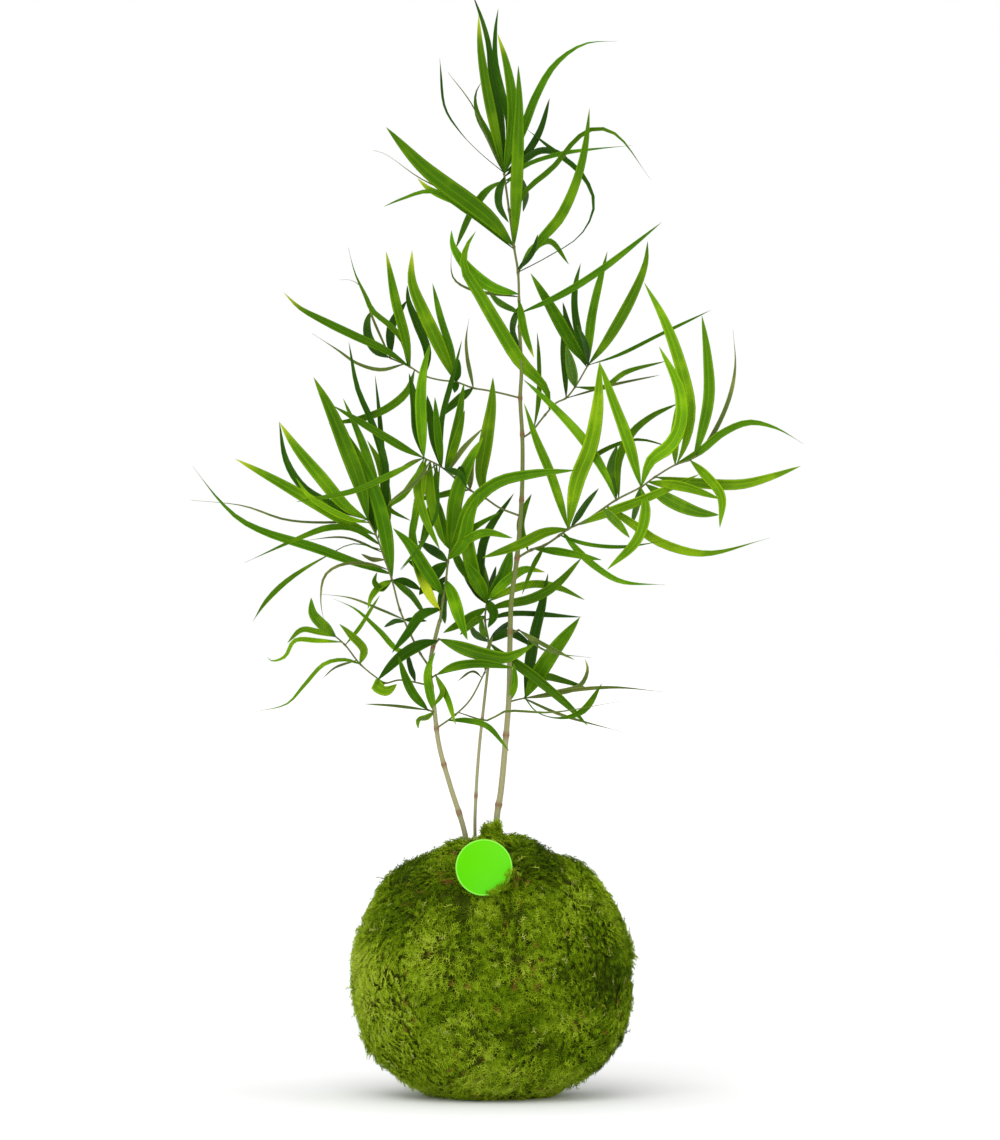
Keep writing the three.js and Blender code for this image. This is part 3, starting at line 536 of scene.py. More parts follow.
moss_frond, tree, shader = new_material("moss_frond")
kind = painted(tree, "moss_kind")
reach = painted(tree, "moss_reach")
grown = scaled(tree, reach, TIPS_FROM, TIPS_FULL)
moss_green = blend(tree, grown, ramp(tree, kind, MOSS_FEET), ramp(tree, kind, MOSS_TIPS))
feed(tree, shader, "Base Color", moss_green)
feed(tree, shader, "Roughness", scaled(tree, reach, least=ROUGH_FOOT, most=ROUGH_TIP))
shader.inputs["Specular IOR Level"].default_value = MOSS_SHEEN

draw = np.random.default_rng(FROND_SEED)
ways = unit(spread_ways(FRONDS) + draw.normal(size=(FRONDS, 3)) * FROND_JITTER)
relief, cushion = nearest_cushions(ways)
nearness = np.sort(ways @ SHEET_WAYS.T, axis=1)
between = nearness[:, -1] - nearness[:, -2] + CREASE_WANDER * drift(ways, seed=5, waves=9)
crease = np.exp(-((between / CREASE_WIDTH) ** 2))
height = ball_radius(ways) + relief - CREASE_DEPTH * crease
feet = ways * (height - FOOT_SINK)[:, None]
feet[:, 2] += BALL_MIDDLE
heading = HEADING["cushion"] * (ways - cushion_ways[cushion])
heading += HEADING["flow"] * np.stack([drift(ways, seed, waves=7) for seed in (11, 12, 13)], axis=1)
heading += HEADING["stray"] * draw.normal(size=ways.shape) - np.array([0, 0, HEADING["down"]])
heading = laid_flat(heading, ways)
brighter, standing = np.zeros(FRONDS), np.zeros(FRONDS)
front = np.clip(1 - feet[:, 1] / PATCH_FADE, 0, 1)
front = front * front * (3 - 2 * front)
# Painted light and painted shade, with some of the moss's own tone: the patches make the kind brighter or
# darker on the front of the ball.
for across, up, size, bright, lift in MOSS_PATCHES:
    here = near_spot(feet, across, up, size)
    brighter += bright * here * front
    standing += lift * here * (feet[:, 1] < STANDING_DEPTH)
drifts = drift(ways, seed=31, waves=3.2) + drift(ways, seed=32, waves=15)
kind = KIND_MIDDLE + KIND_DRIFTS * drifts + KIND_VARIES * draw.normal(size=FRONDS)
# Painted shade: the fronds in the creases get a darker kind.
kind = np.clip(kind - CREASE_SHADE * crease + brighter, *KIND_GREEN)
kind = np.where(draw.random(FRONDS) < PALE_SHARE, draw.uniform(*KIND_PALE, FRONDS), kind)
dryness = DRY_SHARE + sum(DRY_SPOT_SHARE * near_spot(feet, *spot) * front for spot in DRY_SPOTS)
kind = np.where(draw.random(FRONDS) < dryness, draw.uniform(*KIND_DRY, FRONDS), kind)
run = draw.uniform(*RUN, FRONDS)
rise = draw.uniform(*RISE, FRONDS)
rise = rise * (RISE_IN_HOLLOWS + (1 - RISE_IN_HOLLOWS) * relief / CUSHION_HEIGHT)
rise = rise + LOOSE_RISE * np.clip(drift(ways, seed=41, waves=11), 0, 1) + standing
stray = draw.random(FRONDS) < STRAY_SHARE
rise = np.where(stray, rise + draw.uniform(*STRAY_RISE, FRONDS), rise)
curl = draw.normal(size=FRONDS) * CURL
points, reach = frond_points(feet, ways, heading, run, rise, curl, draw)
offset = points - TAG_MIDDLE
before_tag = offset @ TAG_AWAY
beside_tag = np.linalg.norm(offset - before_tag[..., None] * TAG_AWAY, axis=-1)
in_tag = ((beside_tag < TAG_RADIUS + TAG_ROOM) & (before_tag > TAG_BACK)).any(axis=1)
beside_crown = np.hypot(feet[:, 0] - CROWN[0], feet[:, 1] - CROWN[1])
bare_crown = (beside_crown < CROWN_RADIUS - 1) & (feet[:, 2] > BALL_MIDDLE)
under_ball = feet[:, 2] < GROUND_GAP

# A tuft climbs the tall cane, a little higher on its right.
turns = draw.uniform(0, 2 * math.pi, CROWN_TUFT)
outward = np.stack([np.cos(turns), np.sin(turns), np.zeros(CROWN_TUFT)], axis=1)
climb = draw.random(CROWN_TUFT) ** CROWN_TUFT_LOW
climb = climb * (1 - CROWN_TUFT_SLOPE + CROWN_TUFT_SLOPE * np.cos(turns + CROWN_TUFT_HIGH_SIDE))
apart = draw.uniform(*CROWN_TUFT_RADIUS, CROWN_TUFT) * (1 - CROWN_TUFT_TAPER * climb)
tuft_feet = CROWN_TUFT_FOOT + outward * apart[:, None]
tuft_feet[:, 2] += CROWN_TUFT_HEIGHT * climb
upward = unit(CROWN_TUFT_LEAN + draw.normal(size=(CROWN_TUFT, 3)) * CROWN_TUFT_SCATTER)
tuft_points, tuft_reach = frond_points(
    tuft_feet, outward, laid_flat(upward, outward), draw.uniform(*CROWN_TUFT_RUN, CROWN_TUFT),
    draw.uniform(*CROWN_TUFT_RISE, CROWN_TUFT), draw.normal(size=CROWN_TUFT) * CURL, draw,
)
tuft_right = outward[:, 0]

# A few fronds lie over the tag's lower right edge.
turns = draw.uniform(*TAG_TUFT_TURNS, TAG_TUFT)
tag_up = np.array([0, math.sin(TAG_LEAN), math.cos(TAG_LEAN)])
outward = np.cos(turns)[:, None] * np.array([1.0, 0, 0]) + np.sin(turns)[:, None] * tag_up
apart = draw.uniform(*TAG_TUFT_RADIUS, TAG_TUFT)
edge_feet = TAG_MIDDLE + outward * apart[:, None] - TAG_TUFT_SINK * TAG_AWAY
inward = unit(-outward + TAG_TUFT_SCATTER * draw.normal(size=(TAG_TUFT, 3)))
away_from_tag = np.tile(TAG_AWAY, (TAG_TUFT, 1))
edge_points, edge_reach = frond_points(
    edge_feet, away_from_tag, laid_flat(inward, away_from_tag), draw.uniform(*TAG_TUFT_RUN, TAG_TUFT),
    draw.uniform(*TAG_TUFT_RISE, TAG_TUFT), draw.normal(size=TAG_TUFT), draw,
)
tuft_kind = draw.normal(*CROWN_TUFT_KIND, CROWN_TUFT) + CROWN_TUFT_BRIGHT_SIDE * tuft_right
tuft_kind = tuft_kind.clip(*CROWN_TUFT_GREEN)
kind = np.concatenate([kind, tuft_kind, draw.uniform(*TAG_TUFT_KIND, TAG_TUFT)])
kept = np.append(~(bare_crown | in_tag | under_ball), np.full(CROWN_TUFT + TAG_TUFT, True))
points = np.concatenate([points, tuft_points, edge_points])
points[..., 2] = np.maximum(points[..., 2], TIP_GAP)
reach = np.concatenate([reach, tuft_reach, edge_reach])
nearest_sheet = (ways @ SHEET_WAYS.T).argmax(axis=1)
sheet = np.concatenate([nearest_sheet, np.full(CROWN_TUFT, CROWN_SHEET), np.full(TAG_TUFT, TAG_SHEET)])
for number in range(len(SHEET_WAYS)):
    chosen = kept & (sheet == number)
    show_fronds(f"moss_sheet_{number + 1}", points[chosen], reach[chosen], kind[chosen], moss_frond)


# ---------------------------------------------------------------- Tag
# A round plant tag of glossy lime plastic, moulded with a low rim and a round pick at its back. The pick
# is pushed into the ball's front shoulder, so the disc leans back a little with moss at its lower edge.
# Its face is left plain.

TAG_PROFILE = [  # radius, and height over the disc's middle
    (12.75, 0.52), (12.95, 0.60), (13.1, 0.74), (13.32, 0.80), (13.68, 0.78), (13.92, 0.62),
    (14.0, 0.36), (14.0, -0.48), (13.86, -0.72), (13.6, -0.80),
]
TAG_SIDES = 96
TAG_SHARP = math.radians(40)  # a steeper fold than this is a sharp edge
RIM_FROM = 13.2  # radius
PICK_SLOPE = math.radians(35)
PICK_LENGTH = 30.0
PICK_PROFILE = [(0, 1.1), (0.1, 1.1), (0.6, 1.08), (0.82, 1.0), (0.93, 0.8), (1, 0.35)]  # place, radius
PICK_SIDES = 20
TAG_LIME = (0.100, 0.53, 0.001, 1)
# Painted shade: the lower part of the tag is painted this darker lime, which fades into its full lime between
# the heights below.
TAG_LIME_SHADED = (0.074, 0.49, 0.001, 1)
TAG_LIME_FROM, TAG_LIME_FULL = 0.103, 0.131  # m over the ground
# Painted highlight: the rim of the tag is painted this paler lime.
RIM_HIGHLIGHT = (0.36, 0.80, 0.12, 1)
RIM_HIGHLIGHT_SHARE = 0.4
TAG_GRAIN = 900.0
TAG_RELIEF = 0.0004  # m
TAG_RELIEF_SHARE = 0.06
TAG_ROUGHNESS = (0.2, 0.3)
TAG_SHEEN = 0.06
MAP_RUN = (0.02, 0.98)  # a skin's rings lie between these on its map
MAP_CAPS = (0.01, 0.99)  # and its caps here
MAP_CAP_SIZE = (0.008, 0.2)


def ring(centre, radius, side, way, sides):
    """Points round a way, which start at its side."""
    turns = np.linspace(0, 2 * math.pi, sides, endpoint=False)[:, None]
    return centre + radius * (np.cos(turns) * side + np.sin(turns) * np.cross(way, side))


def sleeve(rings, tip=None, strip=(0.0, 1.0)):
    """A closed skin over rings of equal count, with a map that lays it out as one strip."""
    rings = np.asarray(rings)
    count, sides = rings.shape[:2]
    points = rings.reshape(-1, 3)
    faces, spots = [], []
    low, high = strip
    ups = low + (high - low) * np.linspace(0, 1, sides + 1)
    run = np.linspace(*MAP_RUN, count)
    for number in range(count - 1):
        for side in range(sides):
            here, there = number * sides + side, number * sides + (side + 1) % sides
            faces.append((here, there, there + sides, here + sides))
            spots += [
                (run[number], ups[side]), (run[number], ups[side + 1]),
                (run[number + 1], ups[side + 1]), (run[number + 1], ups[side]),
            ]
    caps = [(list(range(sides))[::-1], MAP_CAPS[0])]
    last = (count - 1) * sides
    if tip is None:
        caps.append((list(range(last, last + sides)), MAP_CAPS[1]))
    else:
        points = np.vstack([points, tip])
        for side in range(sides):
            faces.append((last + side, last + (side + 1) % sides, last + sides))
            spots += [(run[-1], ups[side]), (run[-1], ups[side + 1]), (1.0, (ups[side] + ups[side + 1]) / 2)]
    turns = np.linspace(0, 2 * math.pi, sides, endpoint=False)
    wide, tall = MAP_CAP_SIZE[0], MAP_CAP_SIZE[1] * (high - low)
    for cap, place in caps:
        faces.append(tuple(cap))
        spots += [(place + wide * math.cos(t), (low + high) / 2 + tall * math.sin(t)) for t in turns]
    return points, faces, spots


def ease(tree, value, start, end, most):
    """A soft step of value, from nothing at start to most at end."""
    limits = {"From_Min": start, "From_Max": end, "To_Max": most}
    step = put(tree, "ShaderNodeMapRange", {"interpolation_type": "SMOOTHSTEP"}, Value=value, **limits)
    return step.outputs[0]


def height_over_ground(tree):
    return put(tree, "ShaderNodeSeparateXYZ", Vector=place_on_piece(tree)).outputs["Z"]


def polish(tree, shader, colour, relief, depth, strength, roughness, sheen):
    """Finishes a shader: its colour, a fine relief that changes its roughness too, and its sheen."""
    coat(tree, shader, colour, relief, depth, strength)
    feed(tree, shader, "Roughness", scaled(tree, relief, least=roughness[0], most=roughness[1]))
    shader.inputs["Specular IOR Level"].default_value = sheen


right = np.array([1.0, 0, 0])
rings = [
    ring(TAG_MIDDLE + height * TAG_AWAY, radius, right, TAG_AWAY, TAG_SIDES)
    for radius, height in TAG_PROFILE[::-1]
]
disc_points, disc_faces, disc_spots = sleeve(rings, strip=(0.5, 1.0))
pick_way = np.array([0, math.cos(PICK_SLOPE), -math.sin(PICK_SLOPE)])
rings = [
    ring(TAG_MIDDLE + place * PICK_LENGTH * pick_way, radius, right, pick_way, PICK_SIDES)
    for place, radius in PICK_PROFILE
]
pick_points, pick_faces, pick_spots = sleeve(rings, strip=(0.0, 0.45))
tag_plastic, tree, shader = new_material("tag_plastic")
# Painted shade: the tag is a darker lime low down, by its height over the ground.
upness = scaled(tree, height_over_ground(tree), TAG_LIME_FROM, TAG_LIME_FULL)
lime = blend(tree, upness, TAG_LIME_SHADED, TAG_LIME)
# Painted highlight: a paler lime on the rim.
lime = blend(tree, ease(tree, painted(tree, "rim"), 0.3, 1.0, RIM_HIGHLIGHT_SHARE), lime, RIM_HIGHLIGHT)
orange_peel = put(tree, "ShaderNodeTexNoise", Scale=TAG_GRAIN, Detail=2.0).outputs["Fac"]
polish(tree, shader, lime, orange_peel, TAG_RELIEF, TAG_RELIEF_SHARE, TAG_ROUGHNESS, TAG_SHEEN)
tag_faces = disc_faces + [tuple(n + len(disc_points) for n in face) for face in pick_faces]
tag = show("tag", np.vstack([disc_points, pick_points]), tag_faces, [tag_plastic])
add_map(tag.data, disc_spots + pick_spots)
rim = np.repeat([float(radius > RIM_FROM) for radius, height in TAG_PROFILE[::-1]], TAG_SIDES)
paint_mesh(tag.data, "rim", np.append(rim, np.zeros(len(pick_points))))
tag.data.set_sharp_from_angle(angle=TAG_SHARP)
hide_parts("plant_tag")


# ---------------------------------------------------------------- Canes
# Three slim canes rise from the soil. They are smooth, khaki to grey-green, with fine lines along them and
# a swollen brown joint every few centimetres. Their feet are painted darker and browner, as painted shade
# where they leave the moss.

PLANT_EYE = 3200.0  # mm: the plant's points were read from this far off
PLANT_EYE_HEIGHT = 263.0
CANE_SIDES = 18
CANE_STEP = 1.5
CANE_SLIM = 0.93  # of the solid's radius
JOINT_SWELL = 0.26
JOINT_LENGTH = 1.3
JOINT_BROWN = 0.8
CURVE_FINENESS = 401
CURVE_STEP = 2e-3
BARK_OLD = (0.330, 0.310, 0.165, 1)
OLD_UP_TO = (0.175, 0.245)  # m over the ground, where the old bark starts and ends to fade
OLD_SHARE = 0.85
BARK_KHAKI = (0.140, 0.158, 0.036, 1)
BARK_GREEN = (0.095, 0.150, 0.018, 1)
BARK_GRAIN = 190
BARK_STRETCH = (1, 1, 0.12)
# Painted shade: the colour, and the heights below which it is painted, for the feet of the canes just over
# the moss.
BARK_SHADED_FOOT = (0.150, 0.155, 0.080, 1)
SHADED_FOOT_UP_TO = (0.130, 0.146)
SHADED_FOOT_SHARE = 0.7
BARK_JOINT = (0.190, 0.075, 0.040, 1)
BARK_LINES = 24.0
BARK_LINE_SHARE = 0.25
BARK_RELIEF = 0.0002  # m
BARK_ROUGHNESS = (0.42, 0.62)
BARK_SHEEN = 0.1
CANES = {
    "cane_tall": {
        "radius": (1.8, 0.9), "green": 0.7,
        "joints": [145.5, 180.5, 232, 269, 298, 331, 349, 385.5],
        "points": [
            (1, 3, 96), (1.8, 4, 138), (4, 4, 153), (6.5, 4, 180), (8, 3, 200), (8.5, 2, 228),
            (9.2, 2, 248), (12, 2, 269), (14.3, 3, 298), (14.8, 3.5, 318), (14.6, 4, 331),
            (13.6, 4, 349), (14.2, 4, 362), (13.2, 3, 385),
        ],
    },
    "cane_left": {
        "radius": (1.55, 1.0), "green": 0.9,
        "joints": [142, 166, 184, 205, 214, 224.5],
        "points": [
            (-9, -4, 96), (-14, -6, 131), (-21.5, -7, 155.5), (-27, -8, 175.5),
            (-29.5, -8, 195.5), (-31.5, -8, 215), (-28.5, -9, 230.5), (-26.5, -9, 238),
        ],
    },
    "cane_middle": {
        "radius": (0.95, 0.75), "green": 0.55,
        "joints": [150, 188],
        "points": [
            (-6.5, 6, 98), (-9, 7, 131), (-8.4, 8, 153), (-6.8, 9, 175), (-4.3, 10, 198), (-2.5, 10, 214),
        ],
    },
}


def seen(places):
    """True places of points that were read as seen from the eye."""
    places = np.asarray(places, float)
    spread = (PLANT_EYE + places[:, 1:2]) / PLANT_EYE
    flat = places - [0, 0, PLANT_EYE_HEIGHT]
    return np.hstack([flat[:, :1] * spread, places[:, 1:2], flat[:, 2:] * spread + PLANT_EYE_HEIGHT])


def curve_at(places, shares):
    """Points of the smooth curve through places, where a share counts places and not length."""
    places = np.asarray(places, float)
    line = np.vstack([2 * places[0] - places[1], places, 2 * places[-1] - places[-2]])
    spot = np.clip(np.atleast_1d(shares), 0, 1) * (len(places) - 1)
    first = np.minimum(spot.astype(int), len(places) - 2)
    w = (spot - first)[:, None]
    a, b, c, d = (line[first + n] for n in range(4))

    def gap(p, q):
        return np.maximum(np.sum((q - p) ** 2, axis=1, keepdims=True) ** 0.25, 1e-4)

    ab, bc, cd = gap(a, b), gap(b, c), gap(c, d)
    leave = ((b - a) / ab - (c - a) / (ab + bc) + (c - b) / bc) * bc
    arrive = ((c - b) / bc - (d - b) / (bc + cd) + (d - c) / cd) * bc
    return b + leave * w + (3 * (c - b) - 2 * leave - arrive) * w**2 + (2 * (b - c) + leave + arrive) * w**3


def along_curve(places, shares):
    """Points, and the ways that the curve runs there, where a share is a share of its length."""
    fine = np.linspace(0, 1, CURVE_FINENESS)
    dense = curve_at(places, fine)
    gone = np.concatenate([[0], np.cumsum(np.linalg.norm(np.diff(dense, axis=0), axis=1))])
    spots = np.interp(np.asarray(shares) * gone[-1], gone, fine)
    centres = curve_at(places, spots)
    after, before = np.minimum(spots + CURVE_STEP, 1), np.maximum(spots - CURVE_STEP, 0)
    return centres, unit(curve_at(places, after) - curve_at(places, before)), gone[-1]


def stalk_line(places, step, fewest=2):
    """Shares of a stalk's length in even steps, and its points and its ways there."""
    length = along_curve(places, [0, 1])[2]
    shares = np.linspace(0, 1, max(fewest, int(length / step)))
    centres, ways, _ = along_curve(places, shares)
    return shares, centres, ways


def stalk_rings(centres, ways, radii, sides):
    """Round rings along a stalk, carried along without twist."""
    side = np.cross(ways[0], (0, 1, 0))
    rings = []
    for centre, way, radius in zip(centres, ways, radii):
        side = unit(side - way * (side @ way))
        rings.append(ring(centre, radius, side, way, sides))
    return np.array(rings)


def half_turns(rings, sides):
    """How far round each point of some rings lies from their far side, 0 to 1 on either way there."""
    return np.tile(np.abs(np.linspace(-1, 1, sides, endpoint=False)), rings)


# Fine lines along a stalk or a blade, shared by the bark, the twigs and the leaves.
lines_along, given, result = new_group(
    "lines_along",
    {
        "Across": ("NodeSocketFloat", 0.0),
        "Along": ("NodeSocketFloat", 0.0),
        "Count": ("NodeSocketFloat", BARK_LINES),
    },
    {"Lines": "NodeSocketFloat"},
)
spaced = put(lines_along, "ShaderNodeMath", {"operation": "MULTIPLY"})
feed(lines_along, spaced, 0, given["Across"])
feed(lines_along, spaced, 1, given["Count"])
place = put(lines_along, "ShaderNodeCombineXYZ", X=spaced.outputs[0], Y=given["Along"])
fibres = put(lines_along, "ShaderNodeTexNoise", Vector=place.outputs[0], Scale=1.0, Detail=3.0, Roughness=0.6)
feed(lines_along, result, "Lines", fibres.outputs["Fac"])


def painted_lines(tree, count):
    """So many fine lines along the piece, by its painted values."""
    return use_group(
        tree, lines_along, Across=painted(tree, "around"), Along=painted(tree, "reach"), Count=count
    )["Lines"]


def bark_material(name, green):
    """Bark that is pale straw low down, khaki to green above, and brown at its joints."""
    made, tree, shader = new_material(name)
    height = height_over_ground(tree)
    lines = painted_lines(tree, BARK_LINES)
    mottled = use_group(
        tree, crumbs, Dark=BARK_KHAKI, Light=BARK_GREEN, Grain=BARK_GRAIN, Stretch=BARK_STRETCH
    )
    colour = blend(tree, green, BARK_KHAKI, mottled["Colour"])
    colour = blend(tree, scaled(tree, height, *OLD_UP_TO, OLD_SHARE, 0.0), colour, BARK_OLD)
    colour = blend(tree, scaled(tree, lines, 0.35, 0.7, 0.0, BARK_LINE_SHARE), colour, BARK_OLD)
    # Painted shade: the feet of the canes are painted darker where they leave the moss.
    colour = blend(tree, scaled(tree, height, *SHADED_FOOT_UP_TO, SHADED_FOOT_SHARE, 0.0), colour, BARK_SHADED_FOOT)
    colour = blend(tree, painted(tree, "joint"), colour, BARK_JOINT)
    polish(tree, shader, colour, lines, BARK_RELIEF, 0.5, BARK_ROUGHNESS, BARK_SHEEN)
    return made


for name, cane in CANES.items():
    shares, centres, ways = stalk_line(seen(cane["points"]), CANE_STEP)
    near = sum(np.exp(-(((centres[:, 2] - joint) / JOINT_LENGTH) ** 2)) for joint in cane["joints"])
    near = np.clip(near, 0, 1)
    foot, top = cane["radius"]
    radii = (foot + (top - foot) * shares) * CANE_SLIM * (1 + JOINT_SWELL * near)
    points, faces, spots = sleeve(stalk_rings(centres, ways, radii, CANE_SIDES))
    piece = show(name + "_bark", points, faces, [bark_material(name + "_bark", cane["green"])])
    add_map(piece.data, spots)
    paint_mesh(piece.data, "reach", np.repeat(shares, CANE_SIDES))
    paint_mesh(piece.data, "joint", np.repeat(near, CANE_SIDES) * JOINT_BROWN)
    paint_mesh(piece.data, "around", half_turns(len(shares), CANE_SIDES))
    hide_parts(name)


# ---------------------------------------------------------------- Crown spray, and how every spray grows
# A spray is one green side stem and its leaves. The stem is thin, jointed where leaves leave it, with a
# small brown scale at each joint. A leaf is a narrow tapering blade, folded a little along its midrib.
# The crown spray goes on from the tall cane's tip.

TWIG_SIDES = 10
TWIG_STEP = 1.4
TWIG_FEWEST = 5  # rings
TWIG_SLIM = 0.66  # of the solid's radius
TWIG_SWELL = 0.45
TWIG_JOINT = 0.9
LEAF_STATIONS = np.array([
    0, 0.02, 0.045, 0.08, 0.125, 0.18, 0.24, 0.3, 0.36, 0.42, 0.48, 0.54, 0.6, 0.66, 0.72, 0.78, 0.84,
    0.89, 0.935, 0.97, 0.99,
])
LEAF_ACROSS = np.array([-1, -0.74, -0.38, 0, 0.38, 0.74, 1, 0.74, 0.38, 0, -0.38, -0.74])
LEAF_UNDER = np.array([0.5, 0, 0, 0, 0, 0, 0.5, 1, 1, 1, 1, 1])
LEAF_THICK = 0.42  # mm, at the midrib
LEAF_EDGE = 0.16
LEAF_FOLD = 0.42  # how far the edges rise, as a share of half the width
LEAF_GROOVE = 0.18
GROOVE_WIDTH = 0.3  # of half the blade
LEAF_THIN_UNDER = 0.8  # mm: a blade with less than this as half its width is thinner too
LEAF_THINNEST = 0.35
WAVE_HEIGHT = 0.10
WAVES = 2.2
WAVE_SLANT = 1.7
PETIOLE_WIDTH = 0.7
PETIOLE_REACH = 1.15
PETIOLE_THINNEST = 0.12  # of its width, at the leaf's tip
BLADE_FOOT = 0.36  # where a strap-shaped blade has reached its full width
BLADE_OPENS = 0.8  # powers, which shape the blade's outline
BLADE_TAPER = (2.3, 0.9)
THREAD_TIP = 0.62
THREAD_TIP_DRAWN = (0.8, 0.75)
THREAD_FOOT = 2.1
THREAD_FOOT_DRAWN = 1.5
TWIST = 11  # degrees, from foot to tip
TWIST_MIDDLE = 0.35
# The deep green is partly the leaves' own darker tone and partly painted shade, for leaves that stand in
# shadow; the other greens are the leaves' own tones.
LEAF_GREENS = {
    "fresh": (0.120, 0.268, 0.003),
    "light": (0.082, 0.205, 0.002),
    "mid": (0.055, 0.150, 0.001),
    "deep": (0.022, 0.078, 0.001),
    "grey": (0.105, 0.155, 0.028),
}
GREEN_DEPTH = (0.85, 1.15)
GREEN_HUE = (0.94, 1.06)
PALER = (2.3, 1.75, 2.0, 1)
DARKER = (0.42, 0.52, 0.5, 1)
LEAF_UNDERSIDE = (0.15, 0.25, 0.03, 1)
LEAF_DRY = (0.380, 0.460, 0.015, 1)
DRY_TIP = 0.83  # along the leaf
DRY_LITTLE = (0.94, 1.0)
DRY_EASE = 0.16
YELLOW_FOOT = 0.42
LEAF_LINES = 13.0
LEAF_RELIEF = 0.00025  # m
LEAF_ROUGHNESS = (0.34, 0.52)
LEAF_SHEEN = 0.045
TWIG_GREEN = (0.120, 0.155, 0.032, 1)
TWIG_BROWN = (0.085, 0.060, 0.028, 1)
TWIG_GRAIN = 300
TWIG_PLAIN = 0.7
TWIG_LINES = 14.0
TWIG_ROUGHNESS = (0.45, 0.65)
TWIG_SHEEN = 0.15
TWIG_PAINT = (0.1, 0.2, 0.05, 1)  # its place in the leaves' colours
STRIP_FILL = 0.9  # of a skin's strip on the map

leaf_blade, tree, shader = new_material("leaf_blade")
leaf_green = put(tree, "ShaderNodeAttribute", {"attribute_name": "green"})
green, dryness = leaf_green.outputs["Color"], leaf_green.outputs["Alpha"]
lines = painted_lines(tree, LEAF_LINES)
off_middle = put(tree, "ShaderNodeMath", {"operation": "ABSOLUTE"})
feed(tree, off_middle, 0, painted(tree, "around"))
off_middle = off_middle.outputs[0]
paler = blend(tree, 1.0, green, PALER, "MULTIPLY")
darker = blend(tree, 1.0, green, DARKER, "MULTIPLY")
clouds = put(tree, "ShaderNodeTexNoise", Vector=place_on_piece(tree), Scale=55.0, Detail=2.0).outputs["Fac"]
colour = blend(tree, scaled(tree, lines, 0.38, 0.62, 0.0, 0.6), green, darker)  # its veins
for value, start, end, most, tone in (
    (clouds, 0.5, 0.72, 0.5, paler),
    (clouds, 0.48, 0.28, 0.5, darker),
    (off_middle, 0.16, 0.0, 0.32, paler),  # its midrib
    # Its edges are paler: partly their own yellow-green margin, and partly painted light where they glow
    # against the light.
    (off_middle, 0.62, 1.0, 0.7, paler),  # its edges
    (painted(tree, "reach"), 0.16, 0.0, 0.65, darker),  # its foot
):
    colour = blend(tree, ease(tree, value, start, end, most), colour, tone)
colour = blend(tree, dryness, colour, LEAF_DRY)
underside = scaled(tree, painted(tree, "under"), 0.45, 0.9, 0.0, 0.3)
colour = blend(tree, underside, colour, LEAF_UNDERSIDE)
polish(tree, shader, colour, lines, LEAF_RELIEF, 0.35, LEAF_ROUGHNESS, LEAF_SHEEN)

twig_bark, tree, shader = new_material("twig_bark")
mottled = use_group(tree, crumbs, Dark=TWIG_BROWN, Light=TWIG_GREEN, Grain=TWIG_GRAIN)
colour = blend(tree, TWIG_PLAIN, mottled["Colour"], TWIG_GREEN)
colour = blend(tree, ease(tree, painted(tree, "joint"), 0.3, 1.0, 0.7), colour, TWIG_BROWN)
lines = painted_lines(tree, TWIG_LINES)
polish(tree, shader, colour, lines, BARK_RELIEF, 0.4, TWIG_ROUGHNESS, TWIG_SHEEN)


def blade_half(shares, widest, shape):
    """Half the blade's width: a strap with a short point, or drawn out to a thread at its tip or foot."""
    if shape == "~":
        fuller, thinner = THREAD_TIP_DRAWN
        swell = np.sin(math.pi * shares**THREAD_TIP) ** (fuller + thinner * shares)
    elif shape == "^":
        swell = np.sin(math.pi * shares**THREAD_FOOT) ** THREAD_FOOT_DRAWN
    else:
        opening = np.sin(math.pi / 2 * np.minimum(shares / BLADE_FOOT, 1)) ** BLADE_OPENS
        closing = np.clip((shares - BLADE_FOOT) / (1 - BLADE_FOOT), 0, 1)
        swell = opening * (1 - closing ** BLADE_TAPER[0]) ** BLADE_TAPER[1]
    least = PETIOLE_WIDTH * np.clip(PETIOLE_REACH - shares, PETIOLE_THINNEST, 1)
    return np.maximum(least, widest * swell) / 2


